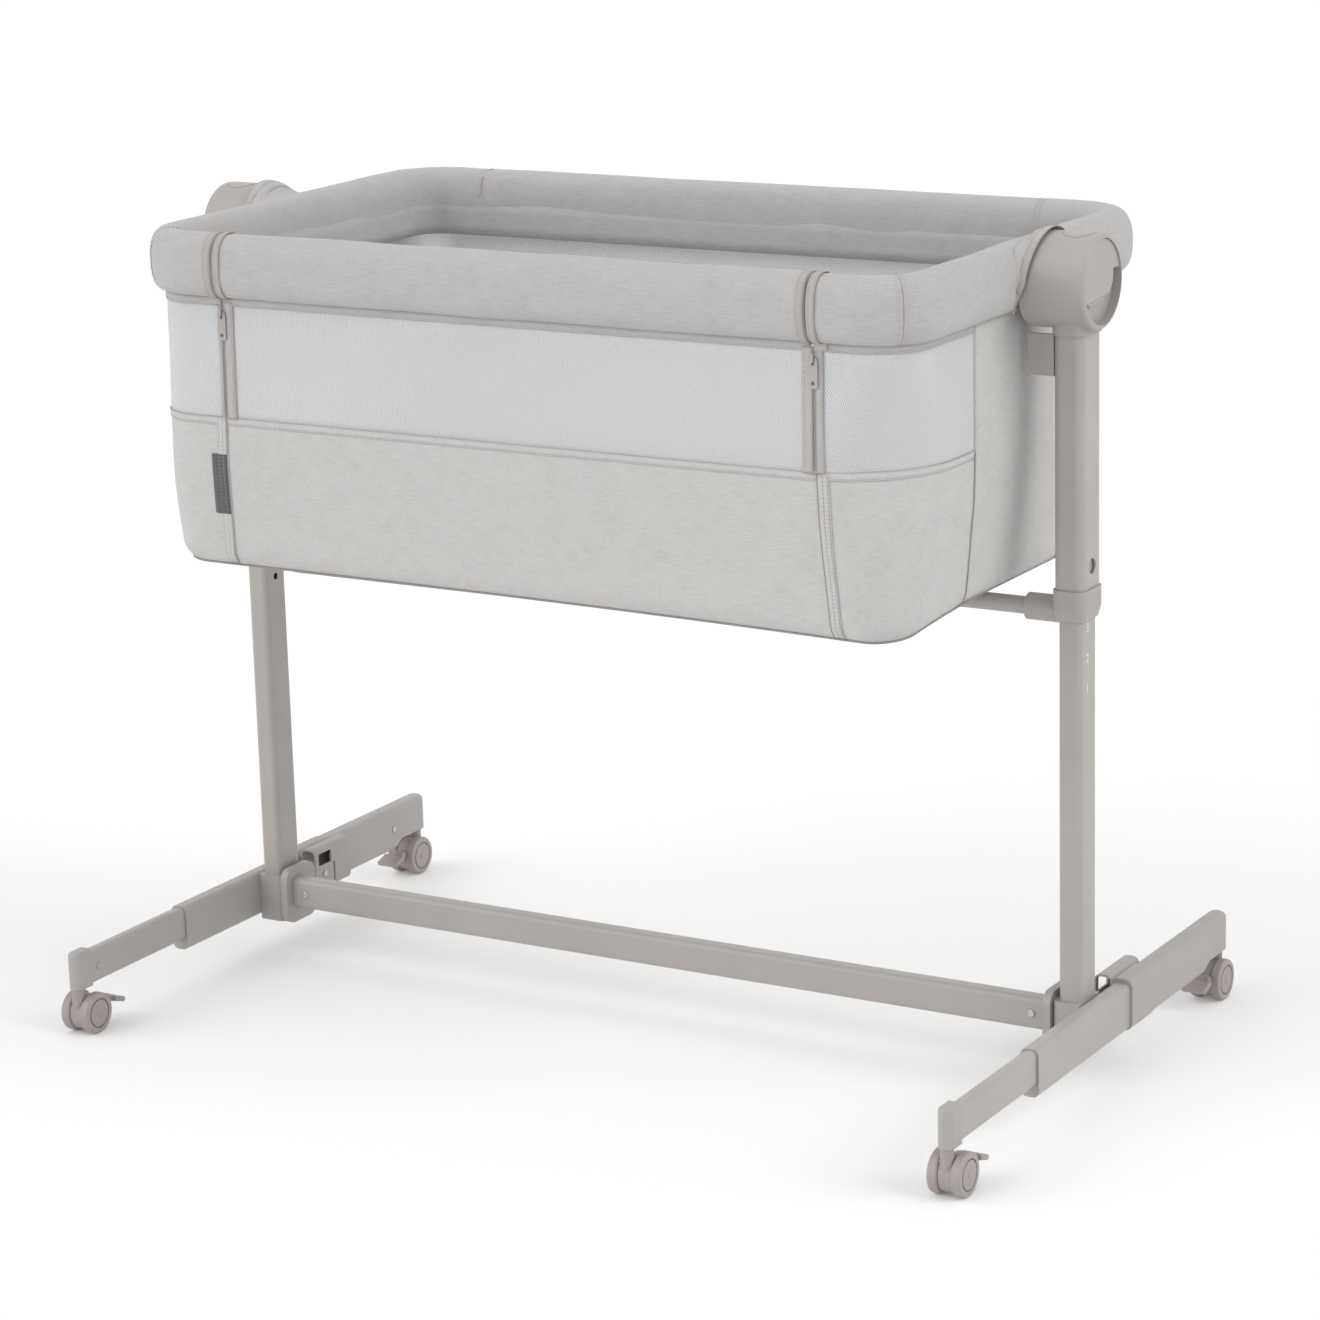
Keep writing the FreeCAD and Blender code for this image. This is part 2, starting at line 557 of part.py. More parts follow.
def casterPedal():
    """Brake pedal: a broad plate that slopes away from the wheels, on two ears with a pin."""
    pinY = s.casterY - s.casterTrail - s.pedalPivotReach
    near = s.housingWidth / 2 + s.wheelGap
    plate = add("Part::Box")
    bind(plate, Length=s.pedalWidth, Width=s.pedalLength, Height=s.pedalThick)
    place(plate, s.footX - s.pedalWidth / 2, pinY - s.pedalEye / 2 - s.pedalGap, s.pedalPivotZ + 1.5,
          Rotation(Vector(1, 0, 0), 180 + pedalSlope))
    plate = rounded(plate, 1.8, lambda e: e.CenterOfMass.y < float(pinY - s.pedalEye / 2) - 3)
    ears = []
    for face in (-1, 1):
        middle = s.footX + face * (near + s.earThick / 2)
        ears.append(rod(middle - s.earThick / 2, pinY, s.pedalPivotZ, s.pedalEye - 1, s.earThick, alongX))
        ears.append(box(middle - s.earThick / 2, pinY - s.pedalEye / 2 - 4, s.pedalPivotZ - 3, s.earThick,
                        s.pedalEye / 2 + 4, 4))
    pin = rod(s.footX - near - 1, pinY, s.pedalPivotZ, s.pedalPinDiameter, 2 * near + 2, alongX)
    fourTimes(fuse(plate, *ears, pin), "pedal")


# ---------------------------------------------------------------- posts and the bar

def lowerPost():
    tube = bar(s.postX, s.postY, s.lowerPostBottom, Rotation(), s.lowerPostWidth, s.lowerPostDepth,
               s.lowerPostRound, s.lowerPostTop - s.lowerPostBottom, s.tubeWall)
    inner = s.postX - s.lowerPostWidth / 2
    holes = [rod(inner - 1, s.postY, s.lockZ + (level - s.levelShown) * s.levelPitch, s.lockHoleDiameter,
                 s.tubeWall + 2, alongX) for level in range(1, int(float(s.levels)) + 1)]
    return node(cut(tube, *holes), "right_lower_post")


def postGlide():
    """Plastic glide that caps the lower post and runs inside the outer one."""
    head = bar(s.postX, s.postY, s.lowerPostTop + s.seatFit, Rotation(),
               s.outerPostWidth - 2 * s.outerPostWall - 2 * s.slideFit,
               s.outerPostDepth - 2 * s.outerPostWall - 2 * s.slideFit,
               s.outerPostRound - s.outerPostWall - s.slideFit, 6)
    plug = bar(s.postX, s.postY, s.lowerPostTop - s.glideHeight, Rotation(),
               s.lowerPostWidth - 2 * s.tubeWall - 2 * s.seatFit,
               s.lowerPostDepth - 2 * s.tubeWall - 2 * s.seatFit,
               s.lowerPostRound - s.tubeWall - s.seatFit, s.glideHeight + 1)
    bore = rod(s.postX, s.postY, s.lowerPostTop - s.glideHeight - 1, 14, s.glideHeight + 10)
    return pair(cut(fuse(head, plug), bore), "post_glides")


def postBase():
    """Moulded shoe that carries the lower post, open on the side that lies on the foot tube."""
    inner = s.postX - s.lowerPostWidth / 2 - s.baseWall
    wide = footFace - s.seatFit - inner
    deep = s.lowerPostDepth + 2 * s.baseWall
    body = box(inner, s.postY - deep / 2, s.baseBottom, wide, deep, s.baseTop - s.baseBottom)
    body = rounded(body, 7, lambda e: upright(e) and e.CenterOfMass.x < float(inner) + 1)
    body = rounded(body, 2, lambda e: e.CenterOfMass.z < float(s.baseBottom) + 0.1
                   and e.CenterOfMass.x < float(footFace) - 1)
    pocket = bar(s.postX, s.postY, s.lowerPostBottom, Rotation(), s.lowerPostWidth + 2 * s.seatFit,
                 s.lowerPostDepth + 2 * s.seatFit, s.lowerPostRound + s.seatFit,
                 s.baseTop - s.lowerPostBottom + 1)
    return pair(cut(body, pocket), "post_bases")


def stretcherBracket():
    """Plate on the shoe's inner face with a plug inside the end of the cross stretcher."""
    inner = s.postX - s.lowerPostWidth / 2 - s.baseWall
    high = s.bracketTop - s.bracketBottom
    plate = bar(inner - s.bracketThick, s.postY, s.bracketBottom + high / 2, alongX, high, s.bracketDepth,
                s.bracketRound, s.bracketThick)
    plug = bar(inner - s.bracketThick - s.barPlug, s.barY, s.barZ, alongX,
               s.barHeight - 2 * s.tubeWall - 2 * s.seatFit, s.barWidth - 2 * s.tubeWall - 2 * s.seatFit,
               s.barRound - s.tubeWall - s.seatFit, s.barPlug + 1)
    pilot = screwHole(inner - s.bracketThick - s.barPlug * 0.6, s.barY - s.barWidth / 2, s.barZ, facingFront,
                      s.screwShankLong + 0.5)
    return pair(cut(fuse(plate, plug), pilot), "stretcher_brackets")


def stretcher():
    end = s.postX - s.lowerPostWidth / 2 - s.baseWall - s.bracketThick
    tube = bar(-end + s.seatFit, s.barY, s.barZ, alongX, s.barHeight, s.barWidth, s.barRound,
               2 * end - 2 * s.seatFit, s.tubeWall)
    holes = [screwHole(side * (end - s.barPlug * 0.6), s.barY - s.barWidth / 2, s.barZ, facingFront,
                       s.tubeWall + 1) for side in (-1, 1)]
    return node(cut(tube, *holes), "cross_stretcher")


def standScrews():
    end = s.postX - s.lowerPostWidth / 2 - s.baseWall - s.bracketThick
    rearZ = s.rearLegBottom + s.rearLegHeight / 2
    right = [screw(end - s.barPlug * 0.6, s.barY - s.barWidth / 2, s.barZ, facingFront),
             screw(s.footX, s.postY, s.footAxisZ - s.footTubeHeight / 2, facingDown),
             screw(s.footX - s.rearLegWidth / 2, s.casterY - s.rearScrewBack, rearZ, facingIn),
             fuse(rod(latchFace - s.rivetHeight, s.rivetY, s.rivetZ, s.rivetDiameter, s.rivetHeight, alongX),
                  rod(latchFace - 0.5, s.rivetY, s.rivetZ, s.screwShank, s.boxWall, alongX))]
    return pair(group(*right), "stand_screws")


# ---------------------------------------------------------------- sliders

def outerPost():
    tube = bar(s.postX, s.postY, s.collarTop - s.collarSeat, Rotation(), s.outerPostWidth, s.outerPostDepth,
               s.outerPostRound, s.outerPostTop - s.collarTop + s.collarSeat, s.outerPostWall)
    window = rod(s.postX + s.outerPostWidth / 2 - s.outerPostWall - 1, s.postY, s.levelHoleZ,
                 s.levelHoleDiameter, s.outerPostWall + 2, alongX)
    return node(group(cut(tube, window), hubGusset()), "right_outer_post")


def collar():
    """Collar below the outer post: a seat for the tube, a guide on the lower post and the cup
    in which the cross bar's end swings."""
    mouthWide = s.outerPostWidth + 2 * s.collarWall
    mouthDeep = s.outerPostDepth + 2 * s.collarWall
    footWide = s.lowerPostWidth + 2 * s.collarWall + 1
    footDeep = s.lowerPostDepth + 2 * s.collarWall + 1
    levels = []
    mouthRound = s.outerPostRound + s.collarWall
    for z, wide, deep, corner in ((s.collarBottom, footWide, footDeep, s.lowerPostRound + s.collarWall),
                                  (s.collarBottom + s.collarTaper, mouthWide, mouthDeep, mouthRound),
                                  (s.collarTop, mouthWide, mouthDeep, mouthRound)):
        sketch = add("Sketcher::SketchObject")
        drawRoundRect(sketch, wide, deep, corner)
        levels.append(place(sketch, s.postX, s.postY, z))
    shell = loft(*levels)
    cup = rod(s.cupMouthX, s.postY, s.crossBarZ, s.cupDiameter, s.postX - s.cupMouthX, alongX)
    seat = bar(s.postX, s.postY, s.collarTop - s.collarSeat, Rotation(), s.outerPostWidth + 2 * s.seatFit,
               s.outerPostDepth + 2 * s.seatFit, s.outerPostRound + s.seatFit, s.collarSeat + 1)
    guide = bar(s.postX, s.postY, s.collarBottom - 10, Rotation(), s.lowerPostWidth + 2 * s.slideFit,
                s.lowerPostDepth + 2 * s.slideFit, s.lowerPostRound + s.slideFit,
                s.collarTop - s.collarBottom + 20)
    back = s.postX - s.lowerPostWidth / 2 - s.collarWall - s.slideFit
    bore = rod(s.cupMouthX - 1, s.postY, s.crossBarZ, s.cupBore, back - s.cupMouthX + 1, alongX)
    pinHole = rod(s.pivotX, s.postY - s.cupDiameter, s.crossBarZ, s.crossPinDiameter + s.pinFit,
                  2 * s.cupDiameter, alongY)
    body = cut(fuse(shell, cup), seat, guide, bore, pinHole)
    node(body, "right_collar")
    # the left cup has a slot for the pin, because bar and posts draw together when it tilts
    slotHigh = s.crossPinDiameter + 2 * s.slideFit
    slot = box(s.pivotX - s.pivotPlay, s.postY - s.cupDiameter, s.crossBarZ - slotHigh / 2, s.pivotPlay,
               2 * s.cupDiameter, slotHigh)
    ends = [rod(s.pivotX - shift, s.postY - s.cupDiameter, s.crossBarZ, slotHigh, 2 * s.cupDiameter, alongY)
            for shift in (0, s.pivotPlay)]
    mirrored(cut(body, slot, *ends), "left_collar")


def hub():
    """Hub housing on top of the outer post, with the tongue slot, the post's channel, the
    grip recess in the outer end and the pocket of the thumb button."""
    drum = rod(s.hubInnerX, s.postY, s.hubZ, s.hubDiameter, s.hubOuterX - s.hubInnerX, alongX)
    ends = (float(s.hubInnerX), float(s.hubOuterX))
    drum = rounded(drum, s.hubRound, lambda e: len(e.Vertexes) == 1 and e.CenterOfMass.x > ends[1] - 1)
    drum = rounded(drum, 2, lambda e: len(e.Vertexes) == 1 and e.CenterOfMass.x < ends[0] + 1)
    neck = bar(s.postX, s.postY, s.neckBottom, Rotation(), s.outerPostWidth + 2 * s.neckWall,
               s.outerPostDepth + 2 * s.neckWall, s.outerPostRound + s.neckWall, s.hubZ - s.neckBottom)
    channel = bar(s.postX, s.postY, s.neckBottom - 1, Rotation(), s.outerPostWidth + 2 * s.seatFit,
                  s.outerPostDepth + 2 * s.seatFit, s.outerPostRound + s.seatFit,
                  s.outerPostTop - s.neckBottom + 1 + s.seatFit)
    recess = rod(s.hubOuterX - s.recessDepth, s.postY, s.hubZ, s.recessDiameter, s.recessDepth + 1, alongX)
    slotHigh = s.trunnionHeight + 2 * s.tiltRoom
    slot = midBox((s.hubInnerX + s.trunnionEnd + 2) / 2, s.postY, s.hubZ, s.trunnionEnd + 2 - s.hubInnerX + 2,
                  s.trunnionWidth + 4 * s.slideFit, slotHigh)
    pocket = rod(s.buttonX, s.postY, s.hubZ + hubRadius - s.buttonPocket, s.buttonDiameter + 2 * s.slideFit,
                 s.buttonPocket + 1)
    pin = rod(s.pivotX, s.postY - s.trunnionWidth / 2 - 10, s.hubZ, s.pivotPinDiameter + 2 * s.seatFit,
              2 * s.hubDiameter, alongY)
    return node(cut(fuse(drum, neck), channel, recess, slot, pocket, pin), "right_hub_housing")


def pivotPin():
    length = s.trunnionWidth / 2 + 10 + hubRadius - 2
    return node(rod(s.pivotX, s.postY - s.trunnionWidth / 2 - 10, s.hubZ, s.pivotPinDiameter, length, alongY),
                "right_pivot_pin")


def hubCover():
    """Cover over the upper part of the grip recess; its lower edge steps up at the back."""
    wide = float(s.recessDiameter) / 2 - float(s.seatFit)
    x0, thick = float(s.hubOuterX) - 1.6 - float(s.coverThick), float(s.coverThick)
    y, z = float(s.postY), float(s.hubZ)
    disc = Part.makeCylinder(wide, thick, Vector(x0, y, z), Vector(1, 0, 0))
    low, step = z - float(s.coverLow), float(s.gripStep)
    edge = [(-60, low - 2), (16, low + 4), (24, low + 4 + step), (25, z + 8), (60, z + 8), (60, z - 60),
            (-60, z - 60)]
    below = outlineSolid([(x0 - 1, y + across, up) for across, up in edge], Vector(thick + 2, 0, 0))
    plate = disc.cut(below)
    plate = plate.makeFillet(1, [e for e in plate.Edges if e.CenterOfMass.x > x0 + thick - 0.1])
    return madeOf(plate, "right_hub_cover")


def hubHandle():
    """Pull plate behind the cover that frees the level lock; fingers in the recess lift it."""
    x0 = float(s.hubOuterX - s.recessDepth) + float(s.slideFit)
    y, z = float(s.postY), float(s.hubZ)
    half, high, thick = float(s.handleWidth) / 2, float(s.handleHeight), float(s.handleThick)
    bottom = z - float(s.handleLow)
    outline = [(-half, 4), (6 - half, 0), (half - 12, 3), (half - 4, 10), (half - 4, high), (-half, high)]
    plate = outlineSolid([(x0, y + across, bottom + up) for across, up in outline], Vector(thick, 0, 0))
    plate = plate.makeFillet(0.9, [e for e in plate.Edges if e.CenterOfMass.z < bottom + 4.5])
    return madeOf(plate, "right_release_handle")


def hubButton():
    """Round thumb button that follows the hub's curve."""
    post = rod(s.buttonX, s.postY, s.hubZ + hubRadius - s.buttonThick - 2, s.buttonDiameter,
               s.buttonThick + 3)
    drum = rod(s.buttonX - s.buttonDiameter, s.postY, s.hubZ, s.hubDiameter + 0.8, 2 * s.buttonDiameter,
               alongX)
    return node(common(post, drum), "right_hub_button")


def hubGusset():
    """Plate between the hub's neck and the basket, fixed to the outer post."""
    right = s.postX - s.outerPostWidth / 2 - s.seatFit
    high = s.neckBottom - s.seatFit - s.gussetBottom
    plate = box(right - s.gussetWidth, s.gussetY, s.gussetBottom, s.gussetWidth, s.gussetThick, high)
    plate = rounded(plate, 6, lambda e: abs(e.Vertexes[0].Y - e.Vertexes[-1].Y) > 1
                    and e.CenterOfMass.z < float(s.gussetBottom) + 1 and e.CenterOfMass.x < float(right) - 5)
    web = box(right - s.gussetThick, s.gussetY, s.gussetBottom, s.gussetThick, s.gussetDeep, high)
    return fuse(plate, web)


def crossBar():
    """Bar under the basket between the two collars, with a pivot pin near each end."""
    back = s.postX - s.lowerPostWidth / 2 - s.collarWall - s.slideFit
    end = back - 3
    tube = cut(rod(-end, s.postY, s.crossBarZ, s.crossBarDiameter, 2 * end, alongX),
               rod(-end - 1, s.postY, s.crossBarZ, s.crossBarDiameter - 2 * s.tubeWall, 2 * end + 2, alongX))
    pins = [rod(side * s.pivotX, s.postY - s.cupDiameter / 2, s.crossBarZ, s.crossPinDiameter,
                s.cupDiameter, alongY) for side in (-1, 1)]
    return node(fuse(tube, *pins), "cross_bar")


# ---------------------------------------------------------------- basket

def sweptLoop(halfX, halfY, corner, z, profileAt):
    """A profile swept round the rounded rectangle of the rim."""
    y = float(s.postY)
    hx, hy, r = float(halfX), float(halfY), float(corner)
    mid = [Vector(hx - r, -hy + r, 0), Vector(hx - r, hy - r, 0), Vector(-hx + r, hy - r, 0),
           Vector(-hx + r, -hy + r, 0)]
    base = Vector(0, y, z)
    edges = []
    for i, centre in enumerate(mid):
        turns = [math.pi / 4 * step for step in range(2 * i - 2, 2 * i + 1)]
        pts = [centre + Vector(math.cos(a), math.sin(a), 0) * r + base for a in turns]
        if i == 0:
            start = Vector(0, -hy, 0) + base
            edges.append(Part.LineSegment(start, pts[0]).toShape())
        else:
            edges.append(Part.LineSegment(last, pts[0]).toShape())
        edges.append(Part.Arc(*pts).toShape())
        last = pts[2]
    edges.append(Part.LineSegment(last, Vector(0, -hy, 0) + base).toShape())
    path = Part.Wire(edges)
    return path.makePipeShell([profileAt(Vector(0, -hy, 0) + base)], True, True)


def rollProfile(at):
    """Section of the padded rim: flat below on the wall, full outside, rounder inside."""
    half, low = float(s.rollWidth) / 2, -float(s.rollHeight) / 2
    high = -low
    def p(y, z):
        return at + Vector(0, y, z + float(s.rollZ - s.frameZ))
    pieces = [Part.LineSegment(p(-half * 0.42, low), p(half * 0.42, low)).toShape(),
              Part.Arc(p(half * 0.42, low), p(half * 0.9, low * 0.62), p(half, 0)).toShape(),
              Part.Arc(p(half, 0), p(half * 0.8, high * 0.74), p(0, high)).toShape(),
              Part.Arc(p(0, high), p(-half * 0.8, high * 0.7), p(-half, 0)).toShape(),
              Part.Arc(p(-half, 0), p(-half * 0.9, low * 0.62), p(-half * 0.42, low)).toShape()]
    return Part.Wire(pieces)


def tubeProfile(at):
    circle = Part.Circle(at, Vector(1, 0, 0), float(s.frameTube) / 2)
    return Part.Wire([circle.toShape()])


def frontGap():
    """The space of the drop side between the zips."""
    half, front = float(s.gapHalfX), float(s.postY - s.frameHalfY)
    return Part.makeBox(2 * half, 120, 400, Vector(-half, front - 60, float(s.seamZ)))


def rim():
    loop = sweptLoop(s.frameHalfX, s.frameHalfY, s.frameCorner, float(s.frameZ), tubeProfile)
    inner = sweptLoop(s.frameHalfX, s.frameHalfY, s.frameCorner, float(s.frameZ),
                      lambda at: Part.Wire([Part.Circle(at, Vector(1, 0, 0), float(s.frameTube) / 2
                                                        - float(s.tubeWall)).toShape()]))
    madeOf(loop.cut(frontGap()).cut(inner), "rim_frame")

    roll = sweptLoop(s.frameHalfX, s.frameHalfY, s.frameCorner, float(s.frameZ), rollProfile)
    room = sweptLoop(s.frameHalfX, s.frameHalfY, s.frameCorner, float(s.frameZ),
                     lambda at: Part.Wire([Part.Circle(at, Vector(1, 0, 0), float(s.frameTube) / 2
                                                       + float(s.rollFit)).toShape()]))
    roll = roll.cut(frontGap()).cut(room)
    y, z = float(s.postY), float(s.hubZ)
    for side in (-1, 1):
        notch = Part.makeCylinder(float(hubRadius) + float(s.hubClear), 60,
                                  Vector(side * float(s.hubNotchX), y, z), Vector(side, 0, 0))
        arm = Part.makeBox(60, float(s.trunnionWidth) + 2, float(s.trunnionHeight) + 2,
                           Vector(side * float(s.hubNotchX) - 30, y - float(s.trunnionWidth) / 2 - 1,
                                  z - float(s.trunnionHeight) / 2 - 1))
        clamp = Part.makeBox(32, float(s.trunnionWidth) + 22, 30,
                             Vector(side * float(s.frameHalfX) - 16, y - float(s.trunnionWidth) / 2 - 11,
                                    float(s.frameZ) - 15))
        roll = roll.cut(notch).cut(arm).cut(clamp)
    madeOf(roll, "rim_padding")


def trunnion():
    """Tongue that clamps round the rim frame and swings on the pin inside the hub."""
    frameX = s.frameHalfX
    clamp = midBox(frameX, s.postY, s.frameZ, 27, s.trunnionWidth + 18, 27)
    clamp = rounded(clamp, 6, lambda e: abs(e.Vertexes[0].Y - e.Vertexes[-1].Y) > 20)
    arm = box(frameX, s.postY - s.trunnionWidth / 2, s.hubZ - s.trunnionHeight / 2, s.pivotX - frameX,
              s.trunnionWidth, s.trunnionHeight)
    eyeEnd = rod(s.pivotX, s.postY - s.trunnionWidth / 2, s.hubZ, 2 * (s.trunnionEnd - s.pivotX),
                 s.trunnionWidth, alongY)
    tube = rod(frameX, s.postY - 60, s.frameZ, s.frameTube + 2 * s.seatFit, 120, alongY)
    taper = []
    for face in (-1, 1):
        x0, x1 = float(s.hubInnerX), float(s.trunnionEnd) + 2
        zc, half, tip = float(s.hubZ), float(s.trunnionHeight) / 2, float(s.trunnionEnd - s.pivotX)
        y0 = float(s.postY) - 40
        taper.append(madeOf(outlineSolid([(x0, y0, zc + face * half), (float(s.pivotX), y0, zc + face * tip),
                                          (x1, y0, zc + face * tip), (x1, y0, zc + face * (half + 5)),
                                          (x0, y0, zc + face * (half + 5))], Vector(0, 80, 0))))
    pin = rod(s.pivotX, s.postY - 60, s.hubZ, s.pivotPinDiameter + s.pinFit, 120, alongY)
    body = cut(fuse(clamp, arm, eyeEnd), tube, pin, *taper)
    node(body, "right_trunnion")
    # the left tongue is a fork, open at its end, because the hubs draw together when it tilts
    slotHigh = s.pivotPinDiameter + 2 * s.slideFit
    throat = rod(s.pivotX, s.postY - 60, s.hubZ, slotHigh, 120, alongY)
    slot = box(s.pivotX, s.postY - 60, s.hubZ - slotHigh / 2, s.trunnionEnd - s.pivotX + 1, 120, slotHigh)
    mirrored(cut(body, throat, slot), "left_trunnion")


def basketShell():
    """Fabric walls and bottom, open above and between the zips."""
    t = s.wallThick
    lowZ = s.basketBottom + s.bottomRound
    outer = loft(section(s.basketBottom + 2, s.wallLowHalfX - s.bottomRound * 0.62,
                         s.wallLowHalfY - s.bottomRound * 0.62, s.wallLowRound - s.bottomRound * 0.62),
                 section(s.basketBottom + s.bottomRound * 0.35, s.wallLowHalfX - s.bottomRound * 0.22,
                         s.wallLowHalfY - s.bottomRound * 0.22, s.wallLowRound - s.bottomRound * 0.22),
                 section(lowZ, s.wallLowHalfX, s.wallLowHalfY, s.wallLowRound),
                 section(s.seamZ, s.wallSeamHalfX, s.wallSeamHalfY, s.wallSeamRound),
                 section(s.wallTop, s.wallTopHalfX, s.wallTopHalfY, s.wallTopRound))
    base = loft(section(s.basketBottom, s.wallLowHalfX - s.bottomRound, s.wallLowHalfY - s.bottomRound,
                        s.wallLowRound - s.bottomRound),
                section(s.basketBottom + 2, s.wallLowHalfX - s.bottomRound * 0.62,
                        s.wallLowHalfY - s.bottomRound * 0.62, s.wallLowRound - s.bottomRound * 0.62))
    inner = loft(section(s.basketBottom + t, s.wallLowHalfX - s.bottomRound - 1,
                         s.wallLowHalfY - s.bottomRound - 1, s.wallLowRound - s.bottomRound),
                 section(lowZ, s.wallLowHalfX - t, s.wallLowHalfY - t, s.wallLowRound - t),
                 section(s.seamZ, s.wallSeamHalfX - t, s.wallSeamHalfY - t, s.wallSeamRound - t),
                 section(s.wallTop + 1, s.wallTopHalfX - t, s.wallTopHalfY - t, s.wallTopRound - t))
    gap = box(-s.gapHalfX, s.postY - s.wallSeamHalfY - 30, s.seamZ - s.hingeGap, 2 * s.gapHalfX, 80, 200)
    return node(cut(fuse(outer, base), inner, gap), "basket_fabric")


def floorPieces():
    t = s.wallThick
    boardZ = s.basketBottom + t + s.seatFit
    inX = s.wallLowHalfX - s.bottomRound - 1 - s.boardGap
    inY = s.wallLowHalfY - s.bottomRound - 1 - s.boardGap
    corner = s.wallLowRound - s.bottomRound - s.boardGap
    board = bar(0, s.postY, boardZ, Rotation(), 2 * inX, 2 * inY, corner, s.boardThick)
    node(board, "floor_board")
    matX = s.wallLowHalfX - t - s.mattressGap
    matY = s.wallLowHalfY - t - s.mattressGap
    matCorner = s.wallLowRound - t - s.mattressGap
    matZ = boardZ + s.boardThick + s.seatFit
    r = s.mattressRound
    high = s.mattressThick
    crown = loft(section(matZ, matX - r - 6, matY - r - 6, matCorner - r - 6),
                 section(matZ + r * 0.7, matX - 3, matY - 3, matCorner - 3),
                 section(matZ + high / 2, matX, matY, matCorner),
                 section(matZ + high - r * 0.7, matX - 3, matY - 3, matCorner - 3),
                 section(matZ + high - 2, matX - r, matY - r, matCorner - r),
                 section(matZ + high, matX - 3 * r, matY - 3 * r, matCorner - 3 * r))
    node(crown, "mattress")
    strips = []
    for side in (-1, 1):
        y = s.postY + side * (s.wallLowHalfY - s.bottomRound - s.stripWidth / 2 - s.stripInset + 18)
        strip = midBox(0, y, s.basketBottom - s.stripThick / 2 - s.slideFit / 3, 2 * s.stripHalfLength,
                       s.stripWidth, s.stripThick)
        strips.append(rounded(strip, 5, upright))
    node(group(*strips), "floor_strips")


# ---------------------------------------------------------------- drop side

def dropSide():
    """Mesh panel, padded rail with its tube, and the noses that drop into the seats."""
    y = float(s.postY)
    seam, top = float(s.seamZ), float(s.wallTop)
    ySeam, yTop = y - float(s.wallSeamHalfY), y - float(s.wallTopHalfY)
    half = float(s.flapHalfX)
    t = float(s.panelThick)
    low = seam + float(s.hingeGap) / 2
    sheetOutline = [(-half, ySeam, low), (-half, yTop, top), (-half, yTop + t, top), (-half, ySeam + t, low)]
    madeOf(outlineSolid(sheetOutline, Vector(2 * half, 0, 0)), "drop_panel")

    railY, railZ = float(s.postY - s.frameHalfY), float(s.frameZ)
    profile = rollProfile(Vector(-half, railY, railZ))
    pad = Part.Face(profile).extrude(Vector(2 * half, 0, 0))
    bore = Part.makeCylinder(float(s.frameTube) / 2 + float(s.rollFit), 2 * half + 2,
                             Vector(-half - 1, railY, railZ), Vector(1, 0, 0))
    madeOf(pad.cut(bore), "drop_rail_padding")

    end = s.flapHalfX - 1
    tube = cut(rod(-end, s.postY - s.frameHalfY, s.frameZ, s.frameTube, 2 * end, alongX),
               rod(-end - 1, s.postY - s.frameHalfY, s.frameZ, s.frameTube - 2 * s.tubeWall, 2 * end + 2,
                   alongX))
    node(tube, "drop_rail")
    plugWide = s.frameTube - 2 * s.tubeWall - 2 * s.seatFit
    reach = s.gapHalfX - s.seatFit - s.seatStop - s.slideFit - end
    plug = rod(end - s.railNoseIn, s.postY - s.frameHalfY, s.frameZ, plugWide, s.railNoseIn, alongX)
    tongue = rod(end, s.postY - s.frameHalfY, s.frameZ, s.railNose, reach, alongX)
    pair(fuse(plug, tongue), "drop_rail_noses")


def railSeat():
    """Open seat on the end of the rim frame: the rail's nose leaves it towards the front."""
    y, z = s.postY - s.frameHalfY, s.frameZ
    stopX = s.gapHalfX - s.seatFit - s.seatStop
    x0 = stopX - s.seatThick
    bore = s.railNose + 2 * s.slideFit
    disc = rod(x0, y, z, s.seatDiameter, s.seatThick + s.seatStop, alongX)
    hole = rod(x0 - 1, y, z, bore, s.seatThick + 1, alongX)
    mouth = box(x0 - 1, y - s.seatDiameter, z - bore / 2, s.seatThick + 1, s.seatDiameter, bore + s.mouthRise)
    plug = rod(stopX, y, z, s.frameTube - 2 * s.tubeWall - 2 * s.seatFit, s.seatPlug, alongX)
    return pair(fuse(cut(disc, mouth, hole), plug), "rail_seats")


